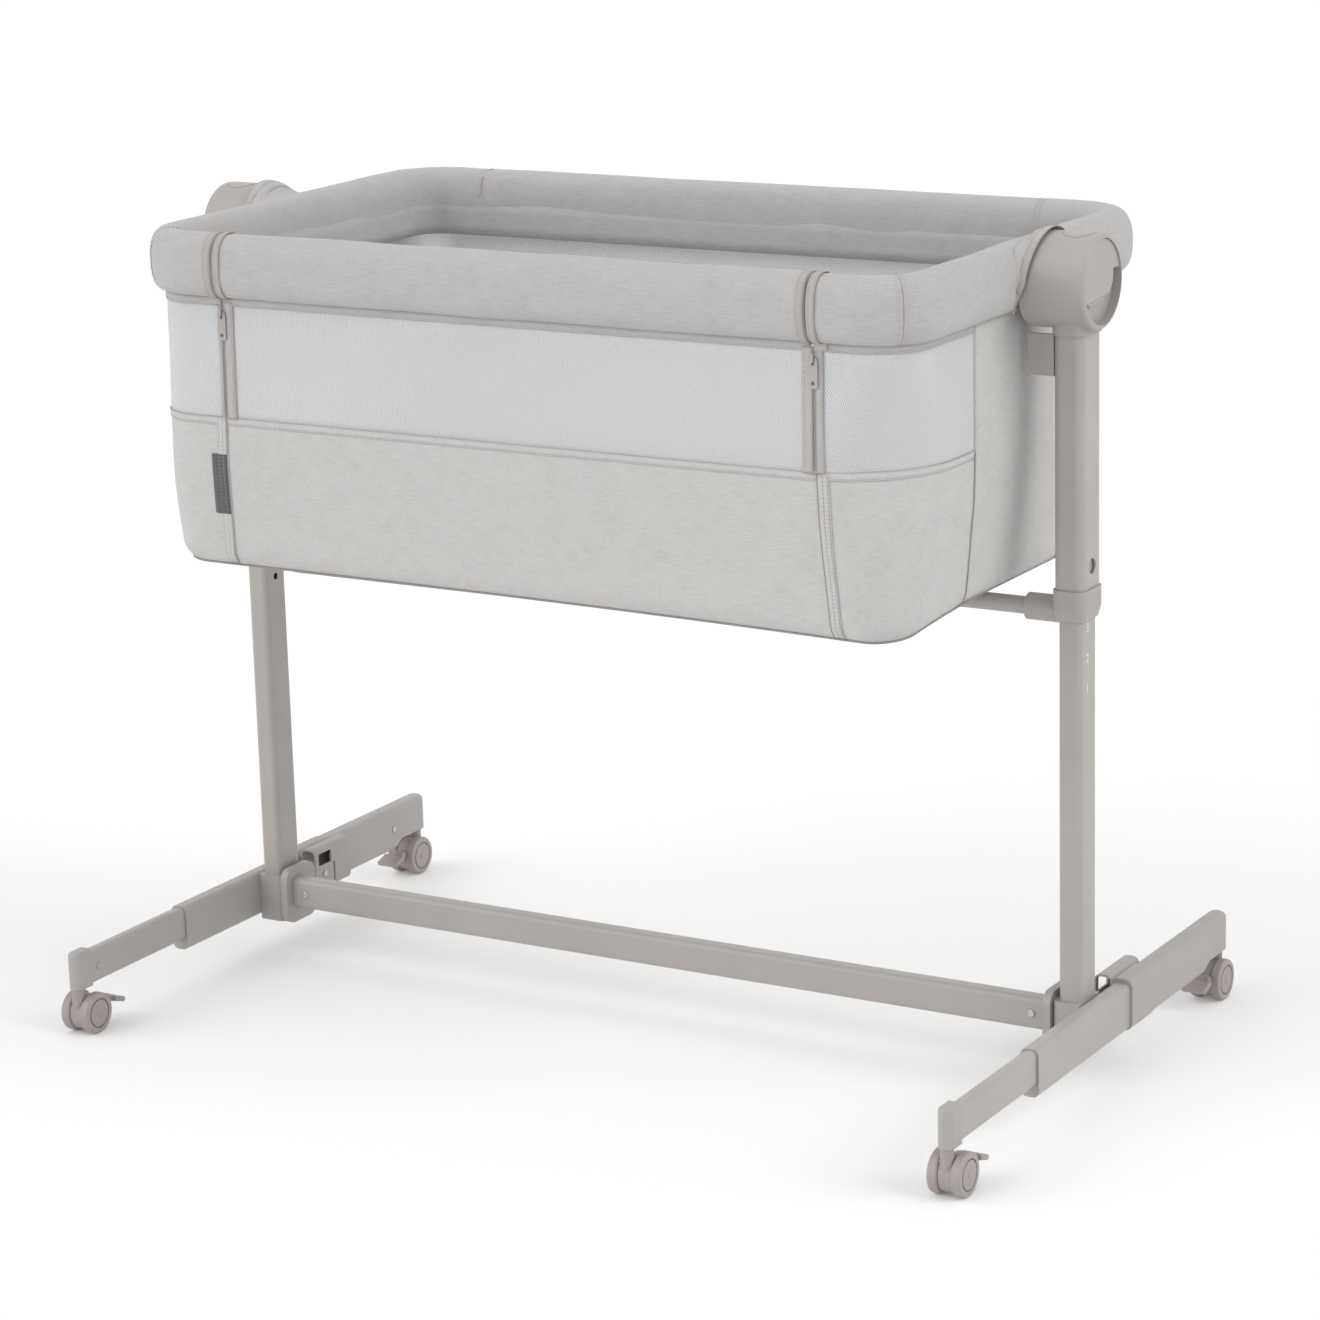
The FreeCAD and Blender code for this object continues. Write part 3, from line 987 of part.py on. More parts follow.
def zipPieces():
    """Zip slider and its pull tab, which stand at the top of the right-hand zip.  The
    slider's bridge holds the round head of the pull, which swings there."""
    seam, top = float(s.seamZ), float(s.wallTop)
    slope = (float(s.wallSeamHalfY) - float(s.wallTopHalfY)) / (top - seam)
    face = float(s.postY - s.wallTopHalfY) - slope * (top - float(s.zipTop))
    x = (s.flapHalfX + s.gapHalfX) / 2
    front = face - s.sliderThick / 2
    z = s.zipTop - s.sliderHeight / 2
    body = box(x - s.sliderWidth / 2, front, s.zipTop - s.sliderHeight, s.sliderWidth, s.sliderThick,
               s.sliderHeight)
    body = rounded(body, 1.2, lambda e: e.CenterOfMass.y < face - 2)
    bridgeHigh = s.sliderHeight - 2
    arch = midBox(x, front - s.bridgeReach / 2 + 0.5, z, s.bridgeWidth, s.bridgeReach + 1, bridgeHigh)
    arch = rounded(arch, 1, lambda e: e.CenterOfMass.y < float(front - s.bridgeReach) + 0.1
                   and abs(e.CenterOfMass.z - float(z)) > 1)
    room = midBox(x, front - (s.bridgeReach - s.bridgeBand) / 2, z, s.bridgeWidth + 1,
                  s.bridgeReach - s.bridgeBand, bridgeHigh - 2 * s.bridgeBand)
    node(fuse(body, cut(arch, room)), "right_zip_slider")

    pullY = front - s.slideFit - s.pullThick / 2
    head = rod(x - s.pullWidth / 2 + 1, pullY, z, s.pullThick, s.pullWidth - 2, alongX)
    eyeWide, eyeHigh = s.bridgeWidth + 2 * s.slideFit, s.sliderHeight / 2 + 1
    blade = box(x - s.pullWidth / 2, pullY - s.pullThick / 2, z - s.pullLength, s.pullWidth, s.pullThick,
                s.pullLength)
    blade = rounded(blade, 2.2, lambda e: abs(e.Vertexes[0].Y - e.Vertexes[-1].Y) > 1)
    eye = box(x - eyeWide / 2, pullY - s.pullThick, z - s.pullThick / 2 - eyeHigh, eyeWide, 2 * s.pullThick,
              eyeHigh)
    hole = rod(x, pullY - s.pullThick, z - s.pullLength + s.pullBore + 1, s.pullBore, 2 * s.pullThick, alongY)
    node(fuse(cut(blade, eye, hole), head), "right_zip_pull")


# ---------------------------------------------------------------- assembly

for make in (footTube, frontLeg, frontCap, rearLeg, lowerPost, outerPost, hub, pivotPin, hubCover,
             hubHandle, hubButton):
    made = make()
    mirrored(made, made.Label.replace("right_", "left_"))
for make in (legLiner, postGlide, postBase, stretcherBracket, stretcher, standScrews, railSeat):
    make()
for make in (casterHousing, casterWheels, casterPedal, collar):
    make()
crossBar()
rim()
trunnion()
basketShell()
floorPieces()
dropSide()
zipPieces()
for made in nodes[-2:]:
    mirrored(made, made.Label.replace("right_", "left_"))

doc.recompute()
faults = []
for obj in doc.Objects:
    if "Invalid" in obj.State or "Error" in obj.State:
        faults.append(obj.Name + " (" + obj.Label + ") is " + ", ".join(obj.State))
for obj in nodes:
    if obj.Shape.isNull() or not obj.Shape.isValid() or obj.Shape.Volume < 1:
        faults.append(obj.Label + " has no valid solid")
if faults:
    raise RuntimeError("; ".join(faults))

os.makedirs("parts", exist_ok=True)
for obj in nodes:
    obj.Shape.exportStep("parts/" + obj.Label + ".step")
    print(obj.Label, len(obj.Shape.Solids), round(obj.Shape.Volume))
print(len(nodes), "nodes")
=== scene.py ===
import json
import math
import bmesh
import bpy
from mathutils import Matrix, Vector, noise


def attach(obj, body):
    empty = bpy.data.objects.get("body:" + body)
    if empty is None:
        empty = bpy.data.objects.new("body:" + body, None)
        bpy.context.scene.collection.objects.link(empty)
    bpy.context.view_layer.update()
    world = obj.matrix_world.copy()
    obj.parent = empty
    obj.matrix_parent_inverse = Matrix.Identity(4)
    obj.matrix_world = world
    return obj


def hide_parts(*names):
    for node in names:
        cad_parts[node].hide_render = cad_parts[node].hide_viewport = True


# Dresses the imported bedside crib: padded rim, fabric basket, nets, zips, seams and finishes.
# Lengths in the dictionaries are millimetres in the crib's frame: X along the crib, Y from
# the drop side to the back, Z up from the floor.

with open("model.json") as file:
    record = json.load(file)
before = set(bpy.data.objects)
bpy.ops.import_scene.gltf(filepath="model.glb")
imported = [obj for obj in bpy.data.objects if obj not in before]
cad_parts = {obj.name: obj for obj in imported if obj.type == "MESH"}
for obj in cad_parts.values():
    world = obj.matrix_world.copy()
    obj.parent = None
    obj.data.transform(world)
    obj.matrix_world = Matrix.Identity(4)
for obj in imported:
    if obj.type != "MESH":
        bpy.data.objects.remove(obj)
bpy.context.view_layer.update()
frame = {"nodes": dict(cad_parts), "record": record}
nodes = frame["nodes"]
scene = bpy.context.scene
mm = 0.001
hands = ((1, "right"), (-1, "left"))
right90 = math.pi / 2
print("frame loaded:", len(nodes), "nodes")


# small helpers

def srgb(red, green, blue):
    def linear(value):
        value /= 255
        return value / 12.92 if value <= 0.04045 else ((value + 0.055) / 1.055) ** 2.4
    return linear(red), linear(green), linear(blue), 1.0


def link(name, mesh, finish, body):
    piece = bpy.data.objects.new(name, mesh)
    scene.collection.objects.link(piece)
    mesh.materials.append(finishes[finish])
    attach(piece, body)
    return piece


def meshFrom(bm, name, smooth=True):
    mesh = bpy.data.meshes.new(name)
    bm.to_mesh(mesh)
    bm.free()
    mesh.polygons.foreach_set("use_smooth", [smooth] * len(mesh.polygons))
    return mesh


def skin(name, rows, cols, at, uvAt, finish, body, merge=False, capped=False):
    # a grid of rows along and cols across, laid where at(row, col) says, in millimetres
    bm = bmesh.new()
    uv = bm.loops.layers.uv.new("UVMap")
    bmesh.ops.create_grid(bm, x_segments=rows, y_segments=cols, size=0.5, calc_uvs=True)
    bm.verts.ensure_lookup_table()
    for face in bm.faces:
        for corner in face.loops:
            across, up = corner[uv].uv
            corner[uv].uv = uvAt(round(across * rows), round(up * cols))
    for spot, vert in enumerate(bm.verts):
        col, row = divmod(spot, rows + 1)
        vert.co = Vector(at(row, col)) * mm
    if merge:
        bmesh.ops.remove_doubles(bm, verts=bm.verts, dist=0.00002)
    if capped:
        bmesh.ops.holes_fill(bm, edges=[e for e in bm.edges if e.is_boundary], sides=0)
    return link(name, meshFrom(bm, name), finish, body)


def thicken(piece, thick, outwards=False):
    solid = piece.modifiers.new("thickness", "SOLIDIFY")
    solid.thickness = thick * mm
    solid.offset = 1 if outwards else -1
    solid.use_even_offset = True
    return piece


def roundedBox(size, edge, segments):
    bm = bmesh.new()
    bmesh.ops.create_cube(bm, size=1)
    bmesh.ops.scale(bm, vec=Vector(size) * mm, verts=bm.verts)
    bmesh.ops.bevel(bm, geom=bm.edges[:], offset=edge * mm, segments=segments, profile=0.5, affect="EDGES",
                    material=-1)
    return bm


def repeated(name, template, places, finish, body):
    # one small shape at many places, as one mesh
    points = [tuple(v.co) for v in template.verts]
    faces = [[v.index for v in f.verts] for f in template.faces]
    verts, polygons = [], []
    for place in places:
        first = len(verts)
        verts += [place @ Vector(p) for p in points]
        polygons += [[first + i for i in f] for f in faces]
    template.free()
    mesh = bpy.data.meshes.new(name)
    mesh.from_pydata(verts, [], polygons)
    mesh.polygons.foreach_set("use_smooth", [True] * len(polygons))
    return link(name, mesh, finish, body)


def walk(path, pitch):
    # places every pitch millimetres along a path of (point, normal): point, direction, normal
    spots, left = [], pitch / 2
    for (a, na), (b, nb) in zip(path, path[1:]):
        step = (b - a).length
        if step < 1e-6:
            continue
        along = (b - a) / step
        while left <= step:
            share = left / step
            spots.append((a + along * left, along, (na * (1 - share) + nb * share).normalized()))
            left += pitch
        left -= step
    return spots


def turned(point, along, normal):
    side = normal.cross(along).normalized()
    out = along.cross(side).normalized()
    return Matrix.Translation(point * mm) @ Matrix((along, side, out)).transposed().to_4x4()


def put(tree, kind, links=(), **settings):
    # a shader node with its inputs linked or set
    made = tree.nodes.new("ShaderNode" + kind)
    for key, value in settings.items():
        setattr(made, key, value)
    for socket, source in dict(links).items():
        if isinstance(source, bpy.types.NodeSocket):
            tree.links.new(source, made.inputs[socket])
        else:
            made.inputs[socket].default_value = source
    return made


def math2(tree, operation, first, second):
    return put(tree, "Math", {0: first, 1: second}, operation=operation).outputs[0]


stitch = {"pitch": 4.2, "finer": 4.0, "finest": 3.6, "length": 2.9, "thick": 0.55}


def stitchRow(name, paths, body="cradle", pitch=stitch["pitch"], finish="stitches"):
    template = bmesh.new()
    bmesh.ops.create_icosphere(template, subdivisions=1, radius=0.5)
    size = (stitch["length"], stitch["thick"], stitch["thick"] * 0.8)
    bmesh.ops.scale(template, vec=Vector(size) * mm, verts=template.verts)
    template.verts.index_update()
    places = [turned(*spot) for path in paths for spot in walk(path, pitch)]
    return repeated(name, template, places, finish, body)


def tube(name, path, radius, finish, body="cradle", closed=False, sides=10):
    # a round cord or piping along a path of (point, normal)
    count = len(path)
    def at(row, col):
        row = row % count if closed else row
        before = path[row - 1] if closed or row else path[0]
        after = path[(row + 1) % count] if closed or row < count - 1 else path[-1]
        point, normal = path[row]
        along = (after[0] - before[0]).normalized()
        side = along.cross(normal).normalized()
        out = side.cross(along)
        angle = 2 * math.pi * col / sides
        return point + (out * math.cos(angle) - side * math.sin(angle)) * radius
    rows = count if closed else count - 1
    return skin(name, rows, sides, at, lambda row, col: (row * 0.004, col * radius * 0.0006), finish, body,
                merge=True, capped=not closed)


# camera, light and floor

camera = {"place": (1.9103, -3.1832, 1.3178), "azimuth": 30.68, "elevation": 14.58, "roll": -1.54,
          "lens": 110.9, "sensor": 36}
light = {"world": 0.715, "keyStrength": 0.85, "keyTurn": (54, 0, 99), "keySoft": 34,
         "fillStrength": 1.0, "fillTurn": (58, 0, -40), "fillSoft": 60, "floorLift": 0.115}


def addCamera():
    azimuth, elevation, roll = (math.radians(camera[k]) for k in ("azimuth", "elevation", "roll"))
    back = Vector((math.sin(azimuth) * math.cos(elevation), -math.cos(azimuth) * math.cos(elevation),
                   math.sin(elevation)))
    right = Vector((math.cos(azimuth), math.sin(azimuth), 0))
    up = back.cross(right)
    across = right * math.cos(roll) + up * math.sin(roll)
    above = up * math.cos(roll) - right * math.sin(roll)
    data = bpy.data.cameras.new("camera")
    data.lens = camera["lens"]
    data.sensor_width = camera["sensor"]
    seen = bpy.data.objects.new("camera", data)
    seen.matrix_world = (Matrix.Translation(camera["place"])
                         @ Matrix((across, above, back)).transposed().to_4x4())
    scene.collection.objects.link(seen)
    scene.camera = seen


def backdropSeen(tree):
    # 1 for the rays that see a backdrop: camera, glossy and transmitted ones
    rays = put(tree, "LightPath").outputs
    glossy = math2(tree, "MAXIMUM", rays["Is Camera Ray"], rays["Is Glossy Ray"])
    return math2(tree, "MAXIMUM", glossy, rays["Is Transmission Ray"])


def addStage():
    world = bpy.data.worlds.new("studio")
    scene.world = world
    world.use_nodes = True
    tree = world.node_tree
    tree.nodes.clear()
    dim, bright = (put(tree, "Background", {"Color": (1, 1, 1, 1), "Strength": strength}).outputs[0]
                   for strength in (light["world"], 1.0))
    mix = put(tree, "MixShader", {0: backdropSeen(tree), 1: dim, 2: bright})
    put(tree, "OutputWorld", {0: mix.outputs[0]})

    for name in ("key", "fill"):
        lamp = bpy.data.lights.new(name, "SUN")
        lamp.energy = light[name + "Strength"]
        lamp.angle = math.radians(light[name + "Soft"])
        shining = bpy.data.objects.new(name, lamp)
        shining.rotation_euler = [math.radians(a) for a in light[name + "Turn"]]
        scene.collection.objects.link(shining)

    bm = bmesh.new()
    bmesh.ops.create_grid(bm, x_segments=1, y_segments=1, size=30)
    floor = bpy.data.objects.new("floor", meshFrom(bm, "floor", False))
    scene.collection.objects.link(floor)
    paper = bpy.data.materials.new("studioFloor")
    paper.use_nodes = True
    tree = paper.node_tree
    tree.nodes.clear()
    matt = put(tree, "BsdfDiffuse", {"Color": (0.9, 0.9, 0.9, 1)})
    lift = math2(tree, "MULTIPLY", backdropSeen(tree), light["floorLift"])
    glow = put(tree, "Emission", {"Strength": lift})
    both = put(tree, "AddShader", {0: matt.outputs[0], 1: glow.outputs[0]})
    put(tree, "OutputMaterial", {0: both.outputs[0]})
    floor.data.materials.append(paper)


addCamera()
addStage()
scene.view_settings.view_transform = "Standard"
print("camera, lamps and floor are in place")


# finishes

def newGroup(name, inputs, outputs):
    tree = bpy.data.node_groups.new(name, "ShaderNodeTree")
    for label, kind in inputs:
        tree.interface.new_socket(label, in_out="INPUT", socket_type="NodeSocket" + kind)
    for label in outputs:
        tree.interface.new_socket(label, in_out="OUTPUT", socket_type="NodeSocketFloat")
    start, end = tree.nodes.new("NodeGroupInput"), tree.nodes.new("NodeGroupOutput")
    return tree, start, end


def endGroup(tree, end, **outputs):
    for label, source in outputs.items():
        tree.links.new(source, end.inputs[label])
    return tree


def noiseOf(tree, vector, scale, detail, roughness=0.5):
    return put(tree, "TexNoise", {"Vector": vector, "Scale": scale, "Detail": detail,
                                  "Roughness": roughness}).outputs["Fac"]


def weaveGroup():
    # slubby yarns both ways on a cloth's own map, and the threads between them
    tree, start, end = newGroup("slubWeave", [("Vector", "Vector"), ("Slub", "Float")], ("Tone", "Height"))
    vector = start.outputs["Vector"]
    yarns = []
    for scale in ((70, 1150, 1), (1300, 110, 1)):
        long = put(tree, "Mapping", {"Vector": vector, "Scale": scale})
        yarns.append(noiseOf(tree, long.outputs[0], 1.0, 3.0, 0.6))
    weft = math2(tree, "MULTIPLY", yarns[0], 0.66)
    both = put(tree, "Math", {0: yarns[1], 1: 0.34, 2: weft}, operation="MULTIPLY_ADD").outputs[0]
    spread = put(tree, "MapRange", {"Value": both, "From Min": 0.36, "From Max": 0.64}).outputs[0]
    cloudy = noiseOf(tree, vector, 38.0, 2.0)
    soft = math2(tree, "MULTIPLY", math2(tree, "SUBTRACT", cloudy, 0.5), 0.5)
    slub = put(tree, "Math", {0: spread, 1: start.outputs["Slub"], 2: soft}, operation="MULTIPLY_ADD")
    tone = put(tree, "Math", {0: slub.outputs[0], 1: 0.5}, operation="ADD", use_clamp=True).outputs[0]
    back = math2(tree, "MULTIPLY", start.outputs["Slub"], 0.5)
    tone = put(tree, "Math", {0: tone, 1: back}, operation="SUBTRACT", use_clamp=True)
    crossing = [put(tree, "TexWave", {"Vector": vector, "Scale": 250.0, "Distortion": 0.6, "Detail": 1.0},
                    bands_direction=way).outputs["Fac"] for way in ("X", "Y")]
    threads = math2(tree, "MULTIPLY", *crossing)
    height = put(tree, "Math", {0: threads, 1: 0.45, 2: both}, operation="MULTIPLY_ADD")
    return endGroup(tree, end, Tone=tone.outputs[0], Height=height.outputs[0])


def grainGroup():
    # fine texture of moulded plastic or powder coat, with a slow drift in tone
    tree, start, end = newGroup("mouldedGrain", [("Vector", "Vector"), ("Grain", "Float")],
                                ("Tone", "Height", "Roughness"))
    vector = start.outputs["Vector"]
    fine = noiseOf(tree, vector, start.outputs["Grain"], 3.0, 0.6)
    slow, rub = noiseOf(tree, vector, 14.0, 3.0), noiseOf(tree, vector, 60.0, 5.0, 0.7)
    tone, rough = (put(tree, "MapRange", {"Value": value, "From Min": 0.3, "From Max": 0.7}).outputs[0]
                   for value in (slow, rub))
    return endGroup(tree, end, Tone=tone, Height=fine, Roughness=rough)


def netGroup():
    # a diamond net: 1 in a hole, 0 on a thread
    tree, start, end = newGroup("diamondNet", [("Vector", "Vector"), ("Scale", "Float")], ("Hole", "Thread"))
    slanted = put(tree, "Mapping", {"Vector": start.outputs["Vector"],
                                    "Rotation": (0, 0, math.radians(45))})
    ways = [put(tree, "TexWave", {"Vector": slanted.outputs[0], "Scale": start.outputs["Scale"]},
                bands_direction=way).outputs["Fac"] for way in ("X", "Y")]
    both = math2(tree, "MULTIPLY", *ways)
    hole = put(tree, "MapRange", {"Value": both, "From Min": 0.16, "From Max": 0.42},
               interpolation_type="SMOOTHSTEP")
    return endGroup(tree, end, Hole=hole.outputs[0], Thread=math2(tree, "SUBTRACT", 1.0, both))


weave, grain, net = weaveGroup(), grainGroup(), netGroup()


def newFinish(name, roughness, **settings):
    finish = bpy.data.materials.new(name)
    finish.use_nodes = True
    shader = finish.node_tree.nodes["Principled BSDF"]
    shader.inputs["Roughness"].default_value = roughness
    for key, value in settings.items():
        shader.inputs[key].default_value = value
    return finish, finish.node_tree, shader


def coloured(tree, shader, factor, dark, bright):
    mix = put(tree, "Mix", data_type="RGBA")
    tree.links.new(factor, mix.inputs[0])
    mix.inputs[6].default_value = srgb(*dark)
    mix.inputs[7].default_value = srgb(*bright)
    tree.links.new(mix.outputs[2], shader.inputs["Base Color"])


def bumped(tree, shader, height, strength, deep):
    bump = put(tree, "Bump", {"Height": height, "Strength": strength, "Distance": deep * mm})
    tree.links.new(bump.outputs[0], shader.inputs["Normal"])


def clothFinish(name, dark, bright, slub=0.9, deep=0.5, sheen=0.12):
    finish, tree, shader = newFinish(name, 0.88, **{"Sheen Weight": sheen, "Sheen Roughness": 0.5,
                                                   "Specular IOR Level": 0.25})
    cloth = put(tree, "UVMap", uv_map="UVMap")
    woven = put(tree, "Group", node_tree=weave)
    tree.links.new(cloth.outputs[0], woven.inputs["Vector"])
    woven.inputs["Slub"].default_value = slub
    coloured(tree, shader, woven.outputs["Tone"], dark, bright)
    bumped(tree, shader, woven.outputs["Height"], 0.55, deep)
    return finish


def mouldedFinish(name, dark, bright, roughness=0.45, size=900.0, deep=0.05, drift=0.08, **settings):
    finish, tree, shader = newFinish(name, roughness, **settings)
    place = put(tree, "TexCoord")
    moulded = put(tree, "Group", node_tree=grain)
    tree.links.new(place.outputs["Object"], moulded.inputs["Vector"])
    moulded.inputs["Grain"].default_value = size
    coloured(tree, shader, moulded.outputs["Tone"], dark, bright)
    rough = put(tree, "MapRange", {"Value": moulded.outputs["Roughness"], "To Min": roughness - drift,
                                   "To Max": roughness + drift})
    tree.links.new(rough.outputs[0], shader.inputs["Roughness"])
    bumped(tree, shader, moulded.outputs["Height"], 0.4, deep)
    return finish


def netFinish(name, thread, hole, clear):
    finish, tree, shader = newFinish(name, 0.75, **{"Specular IOR Level": 0.3})
    cloth = put(tree, "UVMap", uv_map="UVMap")
    mesh = put(tree, "Group", node_tree=net)
    tree.links.new(cloth.outputs[0], mesh.inputs["Vector"])
    mesh.inputs["Scale"].default_value = netPattern["scale"]
    coloured(tree, shader, mesh.outputs["Hole"], thread, hole)
    see = put(tree, "MapRange", {"Value": mesh.outputs["Hole"], "To Min": 1.0, "To Max": 1.0 - clear})
    tree.links.new(see.outputs[0], shader.inputs["Alpha"])
    bumped(tree, shader, mesh.outputs["Thread"], 0.5, 0.4)
    return finish


netPattern = {"scale": 165.0}      # bands of 1.9 mm, so diamonds of 2.7 mm
finishes = {
    "melange_fabric": clothFinish("melangeFabric", (186, 185, 183), (211, 210, 208), slub=0.7),
    # padded_fabric is the melange cloth painted darker: painted shade on the roll, the rail, the bands, the
    # skirts and the cuffs
    "padded_fabric": clothFinish("rimFabricPaintedShade", (174, 172, 171), (199, 197, 196), slub=0.7),
    "binding": clothFinish("bindingTape", (172, 166, 163), (192, 186, 184), slub=0.5),
    "tape": clothFinish("zipTape", (178, 174, 171), (196, 192, 190), slub=0.4),
    # seam: cloth painted darker, as the painted shade of a seam's groove, for the seam lines, the hub bindings'
    # edges and the bottom piping
    "seam": clothFinish("seamPaintedShadeLine", (142, 137, 134), (162, 157, 154), slub=0.5, deep=0.2),
    "stitches": clothFinish("stitchThread", (176, 172, 170), (196, 192, 190), slub=0.3, deep=0.1),
    "label": clothFinish("wovenLabel", (88, 88, 88), (108, 108, 108), slub=0.6, deep=0.3),
    "mattress_cover": clothFinish("mattressCover", (222, 222, 220), (236, 236, 234), slub=0.5, deep=0.6),
    "net_fabric": netFinish("diamondNet", (224, 224, 226), (196, 196, 200), 0.93),
    "frame_paint": mouldedFinish("framePaint", (170, 165, 161), (176, 171, 167), 0.38, 1400.0, 0.03),
    "taupe_plastic": mouldedFinish("taupePlastic", (167, 163, 160), (173, 169, 166), 0.46, 1100.0, 0.06),
    "wheel_plastic": mouldedFinish("wheelPlastic", (160, 152, 149), (168, 160, 157), 0.5, 1100.0, 0.06),
    "base_board": mouldedFinish("baseBoard", (176, 170, 160), (196, 190, 180), 0.7, 400.0, 0.1),
    "strip_plastic": mouldedFinish("stripPlastic", (164, 159, 156), (172, 167, 164), 0.55, 1100.0, 0.06),
    "pin_steel": mouldedFinish("pinSteel", (186, 184, 182), (206, 204, 202), 0.28, 600.0, 0.02, Metallic=1.0),
    "zip_metal": mouldedFinish("zipMetal", (166, 160, 158), (178, 172, 170), 0.34, 800.0, 0.02, Metallic=0.2),
    "coil": mouldedFinish("zipCoil", (140, 135, 132), (158, 153, 150), 0.5, 900.0, 0.03),
    "print": mouldedFinish("whitePrint", (226, 225, 223), (236, 235, 233), 0.6, 900.0, 0.01),
    # dark: a dark socket colour, also the painted shadow lines where the hub necks meet the posts
    "dark": mouldedFinish("darkSocketAndShadowLine", (70, 66, 64), (88, 84, 82), 0.6, 900.0, 0.03),
}
for part in frame["record"]["subparts"]:
    carried = nodes[part["node"]]
    carried.data.materials.clear()
    carried.data.materials.append(finishes[part["material_slot"]])
print("finishes made:", len(finishes))


# the basket's own surfaces

basket = {"midY": 18, "topZ": 711.6, "seamZ": 600, "lowZ": 481, "bottomZ": 457, "bottomRound": 24,
          "top": {"right": 392, "left": 394, "front": 230.5, "back": 226, "corners": (46, 62, 50, 46)},
          "seam": {"right": 391, "left": 399, "front": 233, "back": 226, "corners": (98, 112, 60, 54)},
          "low": {"right": 382, "left": 397, "front": 223, "back": 220, "corners": (42, 74, 54, 46)},
          "wall": 2.6, "net": 0.9, "endFront": -80, "endBack": 116, "gap": 311}
midY, topZ, seamZ, lowZ = (basket[key] for key in ("midY", "topZ", "seamZ", "lowZ"))


def sideLengths(level):
    # from the middle of the front to the right and round: right front corner first
    r = level["corners"]
    right, left, front, back = (level[side] for side in ("right", "left", "front", "back"))
    arcs = [right90 * corner for corner in r]
    return [right - r[0], arcs[0], front - r[0] + back - r[1], arcs[1], right - r[1] + left - r[2],
            arcs[2], back - r[2] + front - r[3], arcs[3], left - r[3]]


seamSides = sideLengths(basket["seam"])
loopLength = sum(seamSides)


def onOutline(distance, level, sides=seamSides):
    # a point of an outline and its normal, told by the way round; the seam's for every level
    distance %= sum(sides)
    side = 0
    while side < 8 and distance > sides[side]:
        distance -= sides[side]
        side += 1
    share, rest = distance / sides[side], 1 - distance / sides[side]
    r = level["corners"]
    right, left, front, back = (level[key] for key in ("right", "left", "front", "back"))
    centres = ((right - r[0], r[0] - front), (right - r[1], back - r[1]), (r[2] - left, back - r[2]),
               (r[3] - left, r[3] - front))
    quarter = side // 2
    if side % 2:
        angle = right90 * (quarter - 1 + share)
        normal = Vector((math.cos(angle), math.sin(angle), 0))
        return Vector((*centres[quarter], 0)) + normal * r[quarter], normal
    if side in (2, 6):
        x, way, first = (right, 1, 0) if side == 2 else (-left, -1, 2)
        return Vector((x, centres[first][1] * rest + centres[first + 1][1] * share, 0)), Vector((way, 0, 0))
    if side == 4:
        return Vector((centres[1][0] * rest + centres[2][0] * share, back, 0)), Vector((0, 1, 0))
    x = centres[0][0] * share if side == 0 else centres[3][0] * rest
    return Vector((x, -front, 0)), Vector((0, -1, 0))


def wallPoint(distance, z, out=0.0):
    # a point of the wall, out millimetres before it, and the wall's level normal there
    if z >= seamZ:
        low, high = basket["seam"], basket["top"]
        share = (z - seamZ) / (topZ - seamZ)
    else:
        low, high = basket["low"], basket["seam"]
        share = max(0.0, (z - lowZ) / (seamZ - lowZ))
    (a, na), (b, nb) = onOutline(distance, low), onOutline(distance, high)
    normal = (na * (1 - share) + nb * share).normalized()
    point = a * (1 - share) + b * share
    if z < lowZ:
        r = basket["bottomRound"]
        sine = min(1.0, (lowZ - z) / r)
        cosine = math.sqrt(1 - sine * sine)
        point, level = onOutline(distance, basket["low"])
        point -= level * r * (1 - cosine)
        normal = (normal * cosine - Vector((0, 0, sine))).normalized()
    return point + normal * out + Vector((0, midY, z)), normal


def roundTo(axis, value, z, near, far):
    # the distance round the wall where its x (axis 0) or y (axis 1) has a value
    a, b = near, far
    rising = wallPoint(far, z)[0][axis] > wallPoint(near, z)[0][axis]
    for _ in range(24):
        middle = (a + b) / 2
        if (wallPoint(middle, z)[0][axis] < value) == rising:
            a = middle
        else:
            b = middle
    return (a + b) / 2


def atX(x, z):
    # on the front wall, right or left
    if x > 0:
        return roundTo(0, x, z, 0, seamSides[0] + seamSides[1] * 0.9)
    return roundTo(0, x, z, loopLength - seamSides[8] - seamSides[7] * 0.9, loopLength)


def atY(y, z, right=True):
    # on an end wall
    start = seamSides[0] + seamSides[1] * 0.2 if right else sum(seamSides[:5]) + seamSides[5] * 0.2
    side = 1 if right else 5
    reach = seamSides[side] * 0.8 + seamSides[side + 1] + seamSides[side + 2] * 0.8
    return roundTo(1, y, z, start, start + reach)


def ripple(point, size, high, seed=0.0):
    return high * noise.noise(point / size + Vector((seed, 0, 0)))


def steps(start, end, count):
    return [start + (end - start) * i / count for i in range(count + 1)]


# the sewn walls

walls = {"along": 290, "ripple": 1.4, "rippleSize": 80, "belly": 2.2, "endBelly": 3.0, "endLow": 463,
         "droopHigh": 70, "droopLeft": 4.5, "droopRight": 10.5, "lean": 6.0,
         "bottomShare": 0.98, "sag": 0.6, "under": 1.2,
         "fade": 14, "endX": 330, "endThick": 2.2, "seamLap": 2}


def droop(point, z):
    # the bottom's edge hangs lower at the front, most at its right corner
    low = min(1, max(0, 1 - (z - lowZ) / walls["droopHigh"])) if z > lowZ else 1
    front = min(1, max(0, -point.y / 200))
    side = min(1, max(0, (point.x + 360) / 700))
    return (low * front) ** 2 * (walls["droopLeft"] + (walls["droopRight"] - walls["droopLeft"]) * side ** 3)


